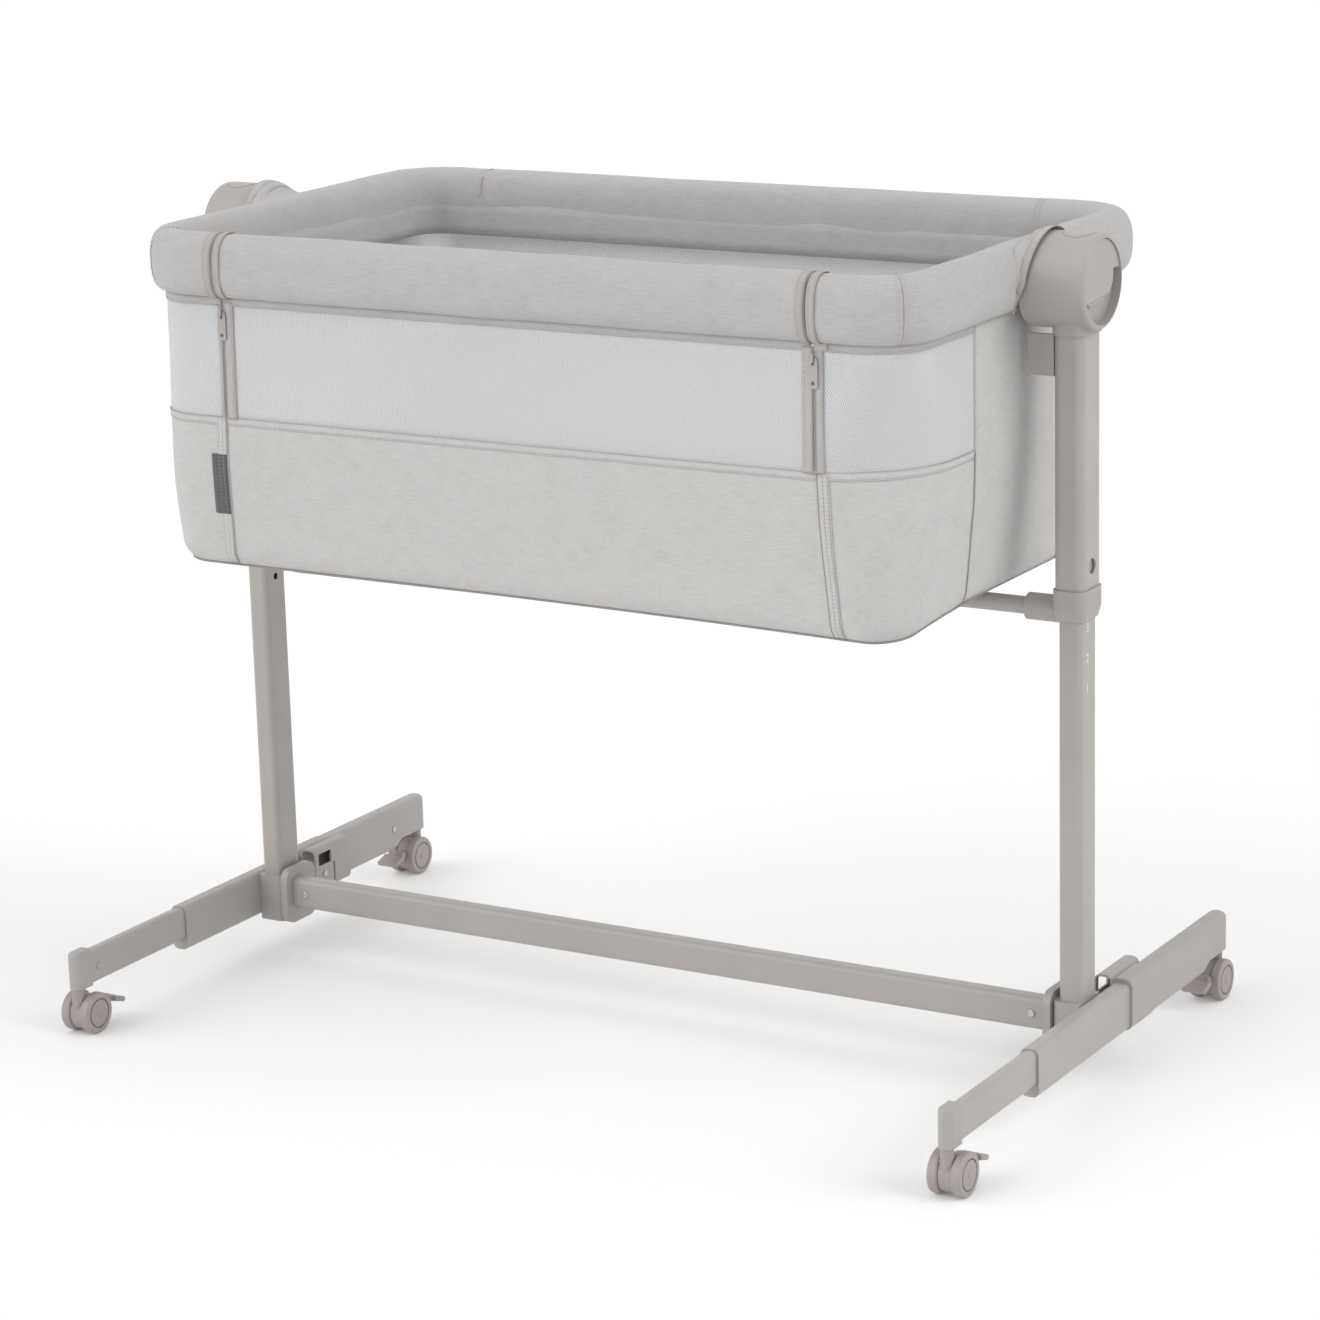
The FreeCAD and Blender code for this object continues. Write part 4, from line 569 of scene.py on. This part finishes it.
def lowerSwell(base, z):
    # how far the lower wall stands out between its seams
    up = (z - lowZ) / (seamZ - lowZ)
    if not 0 < up < 1:
        return 0.0
    return math.sin(math.pi * up) * (walls["belly"] + ripple(base, walls["rippleSize"], walls["ripple"]))


def underEnd(point):
    # 1 where an end panel covers the lower wall, 0 elsewhere
    inner = min(point.y - basket["endFront"], basket["endBack"] - point.y)
    return min(1, max(0, inner / walls["fade"])) if abs(point.x) > walls["endX"] else 0


def lowerWall():
    # bottom, its round and the lower fabric wall, as one shell
    r = basket["bottomRound"]
    profile = [("flat", share) for share in (0, 0.2, 0.4, 0.6, 0.8, 0.9, 0.97)]
    profile += [("wall", lowZ - r * math.cos(math.radians(a))) for a in (0, 15, 30, 45, 60, 75)]
    profile += [("wall", z) for z in steps(lowZ, seamZ, 20)]
    edge = basket["bottomZ"]

    def at(row, col):
        distance = loopLength * row / walls["along"]
        kind, value = profile[col]
        if kind == "flat":
            outer = wallPoint(distance, edge)[0]
            middle = Vector((0, midY, edge))
            sag = walls["sag"] * abs(noise.noise(outer * value * 0.02)) - droop(outer, edge) * value ** 4
            return middle + (outer - middle) * value + Vector((0, 0, sag))
        base, normal = wallPoint(distance, value, -0.3)
        under = underEnd(base)
        out = lowerSwell(base, value) * (1 - under) - walls["under"] * under
        return base + normal * out - Vector((0, 0, droop(base, value)))

    across = [0.0]
    for before, after in zip(profile, profile[1:]):
        across.append(across[-1] + (0.04 if before[0] == "flat" else 0.006))
    piece = skin("basket_lower_wall", walls["along"], len(profile) - 1, at,
                 lambda row, col: (loopLength * row / walls["along"] * mm, across[col]),
                 "melange_fabric", "cradle", merge=True)
    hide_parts("basket_fabric")
    return thicken(piece, basket["wall"])


def wallPanel(name, start, end, rows, finish, thick, low, cols=16, belly=0.0):
    # a sewn panel of the wall between two edges that are told for each height
    high = topZ + 2

    def where(row, col):
        z = low + (high - low) * col / cols
        level = min(z, topZ)
        a, b = start(level), end(level)
        return a + (b - a) * row / rows, z

    def at(row, col):
        distance, z = where(row, col)
        base, normal = wallPoint(distance, min(z, topZ), -0.4 if belly == 0 else 0.4)
        inward = math.sin(math.pi * row / rows) ** 0.5
        own = math.sin(math.pi * col / cols) * (belly + ripple(base, 60, 0.9, 3.0))
        out = own * inward + lowerSwell(base, z) * (1 - inward)
        return base + normal * out + Vector((0, 0, max(0, z - topZ)))

    def uvAt(row, col):
        distance, z = where(row, col)
        return distance * mm, z * mm

    piece = skin(name, rows, cols, at, uvAt, finish, "cradle")
    size = (abs(end(650) - start(650)) * mm, (high - low) * mm)
    return thicken(piece, thick)


front, back, gap = basket["endFront"], basket["endBack"], basket["gap"]
spans = {"right": (lambda z: atX(gap, z), lambda z: atY(front, z), 46),
         "left": (lambda z: atY(front, z, False), lambda z: atX(-gap, z), 46),
         "back": (lambda z: atY(back, z), lambda z: atY(back, z, False), 190)}
lowerWall()
for name, spanned in (("net_right_corner", "right"), ("net_left_corner", "left"), ("net_back", "back")):
    wallPanel(name, *spans[spanned], "net_fabric", basket["net"], seamZ - walls["seamLap"])
ends = (("right_end_wall", lambda z: atY(front, z), lambda z: atY(back, z)),
        ("left_end_wall", lambda z: atY(back, z, False), lambda z: atY(front, z, False)))
for name, start, end in ends:
    wallPanel(name, start, end, 44, "melange_fabric", walls["endThick"], walls["endLow"], 42, walls["endBelly"])
print("walls and nets sewn")


# the padded rim and rail

roll = {"halfX": 385, "halfY": 222, "corner": 42, "z": 743, "half": 19.8, "shift": 4.6,
        "high": 28.4, "deep": 30.8,
        "end": 306.6, "railEnd": 305.6, "around": 48, "step": 4.0, "hubY": 18, "hubZ": 738,
        "notch": 48, "notchX": 398, "backSeam": 37, "girth": 162, "fill": 0.9}


def sectionOf(angle):
    # the rim's section: out of the basket and up, told by the angle from its outer side
    c, s = math.cos(angle), math.sin(angle)
    power = 2.35 if s > 0 else 2.8
    size = (abs(c) ** power + abs(s) ** power) ** (-1 / power)
    return roll["shift"] + c * size * roll["half"], s * size * roll["high" if s > 0 else "deep"]


rimLevel = {"right": roll["halfX"], "left": roll["halfX"], "front": roll["halfY"], "back": roll["halfY"],
            "corners": (roll["corner"],) * 4}
rimSides = sideLengths(rimLevel)
rimLength = sum(rimSides) - 2 * roll["end"]


def rimAt(distance):
    return onOutline(distance + roll["end"], rimLevel, rimSides)


rimSeams = [rimSides[0] + rimSides[1] * 0.5 - roll["end"], sum(rimSides[:4]) + roll["backSeam"] - roll["end"]]
rimSeams += [rimLength - seam for seam in rimSeams]


def sectionSurface(angle, out):
    # the section's point, out millimetres before it, and its own outward direction
    (o, up), (away, rise) = sectionOf(angle), sectionOf(angle + 0.02)
    slope = Vector((rise - up, o - away)).normalized()
    return o + slope.x * out, up + slope.y * out, slope


def rimPoint(distance, angle, out=0.0):
    point, normal = rimAt(distance)
    o, up, slope = sectionSurface(angle, out)
    return (point + normal * o + Vector((0, midY, roll["z"] + up)),
            normal * slope.x + Vector((0, 0, slope.y)))


def endRound(distance, total, soft=2.6):
    # how far the cover pulls in towards a closed end
    near = min(distance, total - distance)
    return 0.0 if near >= soft else soft * (1 - math.sqrt(max(0.0, 1 - (1 - near / soft) ** 2)))


def rimRows(total, step, soft=2.6):
    edge = [soft * (1 - math.cos(math.radians(a))) for a in (0, 25, 50, 70, 90)]
    middle = steps(edge[-1], total - edge[-1], round((total - 2 * soft) / step))
    return edge[:-1] + middle + [total - e for e in reversed(edge[:-1])]


def seamDip(distance, seams, wide, deep):
    return -deep * sum(math.exp(-((distance - seam) / wide) ** 2) for seam in seams)


def creases(distance, angle, seams):
    # fine puckers that fade away from the seams, over a slow swell
    fade = math.exp(-min(abs(distance - seam) for seam in seams) / 26)
    across, up = math.cos(angle), math.sin(angle)
    fine = noise.noise(Vector((distance / 30, across * 3.5, up * 3.5)))
    slow = noise.noise(Vector((distance / 85, across * 1.2 + 5, up * 1.2)))
    return 0.7 * fade * fine + 0.8 * slow


def paddedRim():
    rows = rimRows(rimLength, roll["step"])
    count = len(rows) - 1

    def at(row, col):
        distance, angle = rows[row], 2 * math.pi * col / roll["around"]
        ends = [0, rimLength]
        out = seamDip(distance, rimSeams, 2.0, 0.9) + creases(distance, angle, rimSeams + ends)
        out -= endRound(distance, rimLength)
        point, _ = rimPoint(distance, angle, out)
        side, up = point.y - roll["hubY"], point.z - roll["hubZ"]
        if abs(point.x) > roll["notchX"] and side * side + up * up < roll["notch"] ** 2:
            point.x = math.copysign(roll["notchX"], point.x)
        return point

    piece = skin("padded_rim", count, roll["around"], at,
                 lambda row, col: (rows[row] * mm, col * roll["girth"] / roll["around"] * mm),
                 "padded_fabric", "cradle", merge=True, capped=True)
    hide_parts("rim_padding")


def railPoint(x, angle, out=0.0):
    o, up, slope = sectionSurface(angle, out)
    return (Vector((x, midY - roll["halfY"] - o, roll["z"] + up)),
            Vector((0, -slope.x, slope.y)))


def paddedRail():
    half = roll["railEnd"]
    rows = rimRows(2 * half, 5.0)
    seams = [0, 2 * half]

    def at(row, col):
        distance, angle = rows[row], 2 * math.pi * col / roll["around"]
        out = creases(distance, angle, seams) - endRound(distance, 2 * half)
        return railPoint(distance - half, angle, out)[0]

    piece = skin("padded_rail", len(rows) - 1, roll["around"], at,
                 lambda row, col: (rows[row] * mm, col * roll["girth"] / roll["around"] * mm),
                 "padded_fabric", "drop_side", merge=True, capped=True)
    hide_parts("drop_rail_padding")


paddedRim()
paddedRail()
print("padded rim and rail made")


# the drop side's net and its edges

drop = {"half": 303.4, "low": 600.6, "high": 713, "faceLow": -215.0, "faceHigh": -212.5, "net": 0.9}


def panelPoint(x, z, out=0.0):
    share = (z - seamZ) / (topZ - seamZ)
    return Vector((x, drop["faceLow"] + (drop["faceHigh"] - drop["faceLow"]) * share - out, z))


def dropNet():
    rows, cols = 90, 16
    zs = steps(drop["low"], drop["high"], cols)

    def at(row, col):
        x = -drop["half"] + 2 * drop["half"] * row / rows
        swell = math.sin(math.pi * col / cols) * math.sin(math.pi * row / rows) ** 0.4
        return panelPoint(x, zs[col], swell * (0.7 + ripple(Vector((x, 0, zs[col])), 80, 1.0, 7.0)))

    piece = skin("drop_net", rows, cols, at,
                 lambda row, col: (2 * drop["half"] * row / rows * mm, zs[col] * mm), "net_fabric", "drop_side")
    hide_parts("drop_panel")
    return thicken(piece, drop["net"])


def strip(name, edges, finish, thick, cols=2, body="cradle", flip=False):
    # a flat tape between two lines of points
    edgeA, edgeB = edges[::-1] if flip else edges
    count = len(edgeA) - 1
    lengths = [0.0]
    for a, b in zip(edgeA, edgeA[1:]):
        lengths.append(lengths[-1] + (b - a).length)
    wide = (edgeB[count // 2] - edgeA[count // 2]).length
    piece = skin(name, count, cols, lambda row, col: edgeA[row].lerp(edgeB[row], col / cols),
                 lambda row, col: (lengths[row] * mm, wide * col / cols * mm), finish, body)
    return thicken(piece, thick, outwards=True)


dropNet()
trim = {"topBandLow": 705.2, "topBandHigh": 714, "hemLow": 593.5, "hemHigh": 600.8, "chain": 307,
        "chainGap": 0.4, "narrowest": 10.1, "inset": 2.0}


facing = Vector((0, -1, 0))


def wallLine(distances, z, out):
    return [wallPoint(d, z, out)[0] for d in distances]


def bandsAndHems():
    low, high = trim["topBandLow"], trim["topBandHigh"]
    for name, (start, end, count) in spans.items():
        lowRow, topRow = (steps(start(z), end(z), count) for z in (low, topZ))
        edgeHigh = [p + Vector((0, 0, high - topZ)) for p in wallLine(topRow, topZ, 0.3)]
        strip(name + "_upper_band", (wallLine(lowRow, low, 0.3), edgeHigh), "padded_fabric", 0.5)
        stitchRow(name + "_upper_band_stitches", [[wallPoint(d, low + trim["inset"], 0.9) for d in lowRow]])
    xs = steps(-drop["half"], drop["half"], 60)
    strip("drop_upper_band", [[panelPoint(x, z, 0.8) for x in xs] for z in (low, high)],
          "padded_fabric", 0.5, body="drop_side")
    stitchRow("drop_band_stitches", [[(panelPoint(x, low + trim["inset"], 1.4), facing) for x in xs]],
              "drop_side")
    hemLow, hemHigh = trim["hemLow"], trim["hemHigh"]
    seams = {"front": (atY(front, hemHigh, False) - loopLength, atY(front, hemHigh), 200),
             "back": (atY(back, hemHigh), atY(back, hemHigh, False), 200)}
    for name, (start, end, count) in seams.items():
        row = steps(start, end, count)
        strip("seam_hem_" + name, (wallLine(row, hemLow, 0.0), wallLine(row, hemHigh, 0.2)), "melange_fabric",
              0.3)
        tube("seam_line_" + name, [wallPoint(d, hemHigh, 0.2) for d in row], 0.32, "stitches")
        stitchRow("seam_stitches_" + name, [[wallPoint(d, hemLow + 1.8, 0.7) for d in row]])
    loop = steps(0, loopLength, 300)
    low = lowZ - basket["bottomRound"] * 0.8
    bottom = [(p - Vector((0, 0, droop(p, low))), n) for p, n in (wallPoint(d, low, 0.2) for d in loop)]
    tube("bottom_piping", bottom[:-1], 1.1, "seam", closed=True)


bandsAndHems()


skirt = {"profile": [(-14.9, 741), (-15.4, 730), (-15.2, 717), (-14.2, 706.5)], "deep": 0.0346, "short": 6,
         "thick": 1.0}


def innerSkirt(name, start, end, rows, place, body):
    # the cover's inner flap below the padded rim, over the top of the net
    run = steps(start, end, rows)

    def at(row, col):
        point, normal = place(run[row])
        o, z = skirt["profile"][col]
        return point + normal * o + Vector((0, midY, z))

    piece = skin(name, rows, 3, at, lambda row, col: (run[row] * mm, col * 0.01), "padded_fabric", body)
    thicken(piece, skirt["thick"])


innerSkirt("inner_skirt", skirt["short"], rimLength - skirt["short"], 300, rimAt, "cradle")
railHalf = roll["railEnd"] - 4
innerSkirt("drop_inner_skirt", -railHalf, railHalf, 70,
           lambda x: (Vector((x, -roll["halfY"], 0)), facing), "drop_side")
print("drop side, hems and skirts made")


# zips: tapes, coils, bindings and seams below them

zipper = {"top": 709.0, "pitch": 2.1, "tooth": (1.5, 1.3, 1.1), "edge": 0.25, "aside": 0.95, "proud": 1.7,
          "near": 0.9, "first": 2}
# each zip's two tapes: way from the chain, body, what holds it, width on either hand, how proud
# its far edge and its stitches run, and how far the stitches keep from that edge
tapes = {"drop": (-1, "drop_side", "drop_rail", {"right": 11.9, "left": 11.9}, 0.9, 1.9, 2.6),
         "wall": (1, "cradle", "rim_frame", {"right": 8.5, "left": 3.2}, 0.5, 1.4, 1.4)}


def beforeZip(x, z, out):
    # a point before the drop side's net, or before the wall beside it
    return wallPoint(atX(x, min(z, topZ)), z, out)[0] if abs(x) > gap else panelPoint(x, z, out)


def zips():
    seam, pitch = trim["hemHigh"], zipper["pitch"]
    zs = steps(seam, zipper["top"], 40)
    count = int((zipper["top"] - seam) / pitch) - 1
    for side, hand in hands:
        chain = side * trim["chain"]
        for kind, (way, body, rest, wide, farOut, threadOut, keep) in tapes.items():
            name, way = hand + "_" + kind + "_zip_", way * side
            near, far = chain + way * trim["chainGap"], chain + way * wide[hand]
            edges = [[panelPoint(near, z, zipper["near"]) for z in zs], [beforeZip(far, z, farOut) for z in zs]]
            strip(name + "tape", edges, "tape", 0.6, 3, body, flip=way > 0)
            template = roundedBox(zipper["tooth"], zipper["edge"], 1)
            template.verts.index_update()
            first = seam + zipper["first"] + (0 if kind == "drop" else pitch / 2)
            x = chain + way * zipper["aside"]
            places = [Matrix.Translation(panelPoint(x, first + i * pitch, zipper["proud"]) * mm)
                      for i in range(count)]
            repeated(name + "coil", template, places, "coil", body)
            row = [(beforeZip(far - way * keep, z, threadOut), facing) for z in zs]
            stitchRow(name + "stitches", [row], body)


# for the rim and the rail: how far from the zip and how proud the tape's edges and stitches run
bindings = {"roll": ("cradle", "rim_frame", (1.2, 0.2), (9.2, 0.6), (2.8, 1.2), (7.8, 1.3)),
            "rail": ("drop_side", "drop_rail", (0.8, 0.2), (8.0, 0.5), (2.2, 1.1), (6.6, 1.2))}


def rollBindings():
    # the tape that edges the cover at the zips, from under the roll to under the roll
    angles = steps(math.radians(-95), math.radians(200), 60)
    for side, hand in hands:
        for label, (body, rest, *lines) in bindings.items():
            rows = []
            for reach, out in lines:
                if label == "roll":
                    distance = reach if side > 0 else rimLength - reach
                    rows.append([rimPoint(distance, a, out) for a in angles])
                else:
                    rows.append([railPoint(side * (roll["railEnd"] - reach), a, out) for a in angles])
            edges = [[p for p, _ in row] for row in rows[:2]]
            name = hand + "_" + label + "_binding"
            strip(name, edges, "binding", 0.6, 3, body, flip=(side > 0) == (label == "roll"))
            stitchRow(name + "_stitches", rows[2:], body, stitch["finer"])


def lean(z):
    # the seams below the zips run outwards on their way down
    return walls["lean"] * (seamZ - z) / (seamZ - lowZ)


def onWallAt(distance, z, out):
    # a point on the swelling wall
    base, normal = wallPoint(distance, z)
    return base + normal * (lowerSwell(base, z) + out) - Vector((0, 0, droop(base, z))), normal


def cornerSeams():
    angles = steps(math.radians(-100), math.radians(190), 60)
    paths = []
    for seam in rimSeams:
        for shift in (-2.6, 2.6):
            paths.append([rimPoint(seam + shift, a, 0.5) for a in angles])
    stitchRow("roll_seam_stitches", paths, pitch=stitch["finer"])
    # the roll's and the walls' seams are dark lines in the seam finish: painted shade of the seam grooves
    for number, seam in enumerate(rimSeams):
        path = [rimPoint(seam, a, -0.55) for a in angles]
        tube("roll_seam_" + "abcd"[number], path, 0.32, "seam")
    heights = steps(walls["endLow"], trim["hemHigh"], 40)
    for number, (y, right) in enumerate(((front, True), (back, True), (back, False), (front, False))):
        path = [onWallAt(atY(y, max(z, lowZ), right), z, 0.5) for z in heights]
        tube("wall_seam_" + "abcd"[number], path, 0.38, "seam")


def lowerZipSeams():
    # the stitched tape that runs on below each zip to the bottom piping
    heights = steps(lowZ - basket["bottomRound"] * 0.7, trim["hemHigh"] - 1, 36)
    for side, name in hands:
        def line(x, out):
            return [onWallAt(atX(side * (x + lean(z)), max(z, lowZ)), z, out) for z in heights]
        edges = [[p for p, _ in line(x, 0.0)] for x in (trim["chain"] - 0.5, trim["chain"] + 11.5)]
        strip(name + "_lower_seam_tape", edges, "melange_fabric", 0.6, 3, flip=side > 0)
        rows = [line(trim["chain"] + shift, 0.7) for shift in (5.6, 10.2)]
        stitchRow(name + "_lower_seam_stitches", rows, pitch=stitch["finest"],
                  finish="seam" if side > 0 else "stitches")
        tube(name + "_lower_seam_line", line(trim["chain"] + 0.6, 0.6), 0.45, "seam")


zips()
rollBindings()
cornerSeams()
lowerZipSeams()
print("zips and seams made")


# cuffs of the cover round the hubs

cuff = {"radius": 45.6, "topX": 421, "sideX": 414, "lowX": 400, "start": -36, "reach": 62, "topAngle": 106,
        "along": 96, "across": 14, "binding": 7.5, "thick": 0.8, "sink": 0.9, "fold": 0.5,
        "flat": (0.205, 0.028), "area": 0.0051}


def cuffLine(side, turns, wide, out):
    # a line round the cuff of one hand, wide millimetres from its edge on the hub
    line = (cuffPoint(turn, cuffShare(turn, wide) if wide else 0.0, out) for turn in turns)
    return [(Vector((side * p.x, p.y, p.z)), Vector((side * n.x, n.y, n.z))) for p, n in line]


def cuffPoint(turn, share, out=0.0):
    # on the right cuff: turn round the hub in degrees, share from its edge on the hub to the roll
    angle = math.radians(turn)
    c, s = math.cos(angle), math.sin(angle)
    edgeX = cuff["sideX"] + s * (cuff["topX"] - cuff["sideX"] if s > 0 else
                                 (cuff["sideX"] - cuff["lowX"]) / math.sin(math.radians(-cuff["start"])))
    hub = Vector((edgeX, roll["hubY"] - cuff["radius"] * c, roll["hubZ"] + cuff["radius"] * s))
    folded = turn if turn <= 90 else 180 - turn
    section = math.radians(folded * (cuff["topAngle"] / 90 if folded > 0 else 1))
    o, up = sectionOf(section)
    onRoll = Vector((roll["halfX"] + o * cuff["sink"], roll["hubY"] - cuff["reach"] * c,
                     roll["z"] + up * cuff["sink"]))
    side = 1 - max(0.0, s) ** 2
    first = hub - Vector((6 + 10 * (1 - side), 0, 0))
    last = onRoll + Vector((max(0.0, s) ** 2 * 14, c * 12, 0))
    u = 1 - share
    point = hub * u ** 3 + first * (3 * u * u * share) + last * (3 * u * share * share) + onRoll * share ** 3
    away = Vector((0.35 * share, -c, max(s, 0.0))).normalized()
    return point + away * out, away


def cuffShare(turn, wide):
    # the share of the way at which the cuff is so wide
    path = [cuffPoint(turn, share)[0] for share in steps(0, 1, 12)]
    return wide / sum((b - a).length for a, b in zip(path, path[1:]))


def hubCuffs():
    turns = steps(cuff["start"], 180 - cuff["start"], cuff["along"])
    shares = steps(0, 1, cuff["across"])
    for side, name in hands:
        def at(row, col):
            turn = turns[row if side > 0 else cuff["along"] - row]
            share = shares[cuff["across"] - col]
            folded = noise.noise(Vector((turn / 14, share * 2.5, 4.0))) * math.sin(math.pi * share)
            point = cuffPoint(turn, share, cuff["fold"] * folded)[0]
            return Vector((side * point.x, point.y, point.z))

        piece = skin(name + "_hub_cuff", cuff["along"], cuff["across"], at,
                     lambda row, col: (row * 0.0026, col * 0.0022), "padded_fabric", "cradle")
        thicken(piece, cuff["thick"])
        edges = [[p for p, _ in cuffLine(side, turns, wide, 1.0)] for wide in (0.0, cuff["binding"])]
        strip(name + "_hub_binding", edges, "binding", 0.7, 4, flip=side > 0)
        row = cuffLine(side, turns, cuff["binding"] - 1.6, 1.3)
        stitchRow(name + "_hub_binding_stitches", [row], pitch=stitch["finer"])
        # a dark line in the seam finish where the binding meets the hub: painted shade between the parts
        tube(name + "_hub_binding_edge", cuffLine(side, turns, 0.0, 0.2), 0.5, "seam")


hubCuffs()
print("hub cuffs made")


# mattress

mattress = {"outline": {"right": 371, "left": 374, "front": 212, "back": 210, "corners": (70, 84, 66, 60)},
            "low": 467.3, "high": 501.0, "crown": 3.5, "around": 220}


def babyMattress():
    outline = mattress["outline"]
    low, high = mattress["low"], mattress["high"]
    thick = high - low
    profile = [(share, 0.0) for share in (0, 0.3, 0.6, 0.85, 0.95)]
    profile += [(1 - 0.028 * (1 - math.sin(a)), (1 - math.cos(a)) / 2)
                for a in [math.radians(t) for t in (12, 30, 50, 70, 90, 110, 130, 150, 168)]]
    profile += [(share, 1.0) for share in (0.95, 0.9, 0.8, 0.65, 0.5, 0.35, 0.2, 0.1, 0)]

    def at(row, col):
        share, up = profile[col]
        point, _ = onOutline(loopLength * row / mattress["around"], outline)
        point = point * share
        z = low + up * thick
        if up == 1.0:
            z += mattress["crown"] * (1 - share ** 4) - 2.2 + noise.noise(point * 0.012) * 1.4
        return Vector((point.x, point.y + midY, z))

    run = [0.0]
    for (s0, u0), (s1, u1) in zip(profile, profile[1:]):
        run.append(run[-1] + math.hypot((s1 - s0) * outline["front"], (u1 - u0) * thick))
    piece = skin("mattress_pad", mattress["around"], len(profile) - 1, at,
                 lambda row, col: (loopLength * row / mattress["around"] * mm, run[col] * mm),
                 "mattress_cover", "cradle", merge=True)
    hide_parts("mattress")
    loop = steps(0, loopLength, 260)[:-1]
    for name, z in (("upper", high - 2.6), ("lower", low + 2.4)):
        path = []
        for d in loop:
            point, normal = onOutline(d, outline)
            path.append((point * 0.99 + Vector((0, midY, z)), normal))
        tube("mattress_piping_" + name, path, 1.6, "mattress_cover", closed=True)


babyMattress()
print("mattress made")


# label, level numbers, wheel caps, neck lines and zip tabs

label = {"x": -318, "wide": 18, "low": 510, "high": 566}
levels = {"first": 372, "pitch": 28, "count": 6, "size": 11.5, "y": 14.5, "face": 454.5}


def bareLabel():
    zs = steps(label["low"], label["high"], 14)
    xs = (label["x"] - label["wide"] / 2, label["x"] + label["wide"] / 2)
    edges = [[onWallAt(atX(x - lean(z) + lean(label["high"]), z), z, 0.1)[0] for z in zs] for x in xs]
    strip("bare_label", edges, "label", 0.7, 4, flip=True)


def levelNumbers():
    for side, name in hands:
        for level in range(1, levels["count"] + 1):
            curve = bpy.data.curves.new("number", "FONT")
            curve.body = str(level)
            curve.size = levels["size"] * mm
            curve.extrude = 0.05 * mm
            curve.align_x, curve.align_y = "CENTER", "CENTER"
            flat = bpy.data.objects.new("number", curve)
            scene.collection.objects.link(flat)
            bpy.context.view_layer.update()
            shown = bpy.data.meshes.new_from_object(flat)
            bpy.data.objects.remove(flat)
            z = levels["first"] + levels["pitch"] * (level - 1)
            y = midY + side * (levels["y"] - midY)
            turn = Matrix(((0, 0, side), (side, 0, 0), (0, 1, 0))).to_4x4()
            shown.transform(Matrix.Translation(Vector((side * levels["face"], y, z)) * mm) @ turn)
            shown.materials.clear()
            link(name + "_level_" + str(level), shown, "print", "stand")


def wheelCaps():
    cap = {"footX": 464, "reach": 16.0, "y": 280.5, "z": 20, "radius": 3.6, "proud": 0.9}
    for side, name in hands:
        for end, way in (("front", -1), ("rear", 1)):
            bm = bmesh.new()
            for face in (-1, 1):
                dome = bmesh.ops.create_uvsphere(bm, u_segments=24, v_segments=12, radius=1)["verts"]
                bmesh.ops.scale(bm, vec=Vector((cap["proud"], cap["radius"], cap["radius"])) * mm, verts=dome)
                at = Vector((side * cap["footX"] + face * cap["reach"], way * cap["y"], cap["z"]))
                bmesh.ops.translate(bm, vec=at * mm, verts=dome)
            piece = name + "_" + end
            link(piece + "_wheel_caps", meshFrom(bm, piece), "wheel_plastic", piece + "_wheels")


def neckLines():
    # the fine shadow line where each hub's neck ends on its post
    neck = {"x": 443, "y": 18, "z": 692, "halfX": 14.7, "halfY": 21.2, "round": 8}
    hx, hy, r = neck["halfX"], neck["halfY"], neck["round"]
    for side, name in hands:
        path = []
        for quarter, (ox, oy) in enumerate(((1, -1), (1, 1), (-1, 1), (-1, -1))):
            for angle in steps(right90 * (quarter - 1), right90 * quarter, 8):
                normal = Vector((math.cos(angle), math.sin(angle), 0))
                point = Vector((side * neck["x"] + ox * (hx - r), neck["y"] + oy * (hy - r), neck["z"]))
                path.append((point + normal * r, normal))
        tube(name + "_neck_line", path, 0.35, "dark", name + "_slider", closed=True, sides=6)


def zipTabs():
    # a stitched tab over each zip's end below the roll
    tab = {"x": 313.7, "y": -213.6, "z": 711.6, "size": (13, 4.6, 10.5), "edge": 1.6}
    for side, name in hands:
        bm = roundedBox(tab["size"], tab["edge"], 4)
        at = Vector((side * tab["x"], tab["y"], tab["z"]))
        bmesh.ops.translate(bm, vec=at * mm, verts=bm.verts)
        link(name + "_zip_tab", meshFrom(bm, name + "_zip_tab"), "binding", "cradle")


bareLabel()
levelNumbers()
wheelCaps()
neckLines()
zipTabs()
print("label, numbers and caps made")
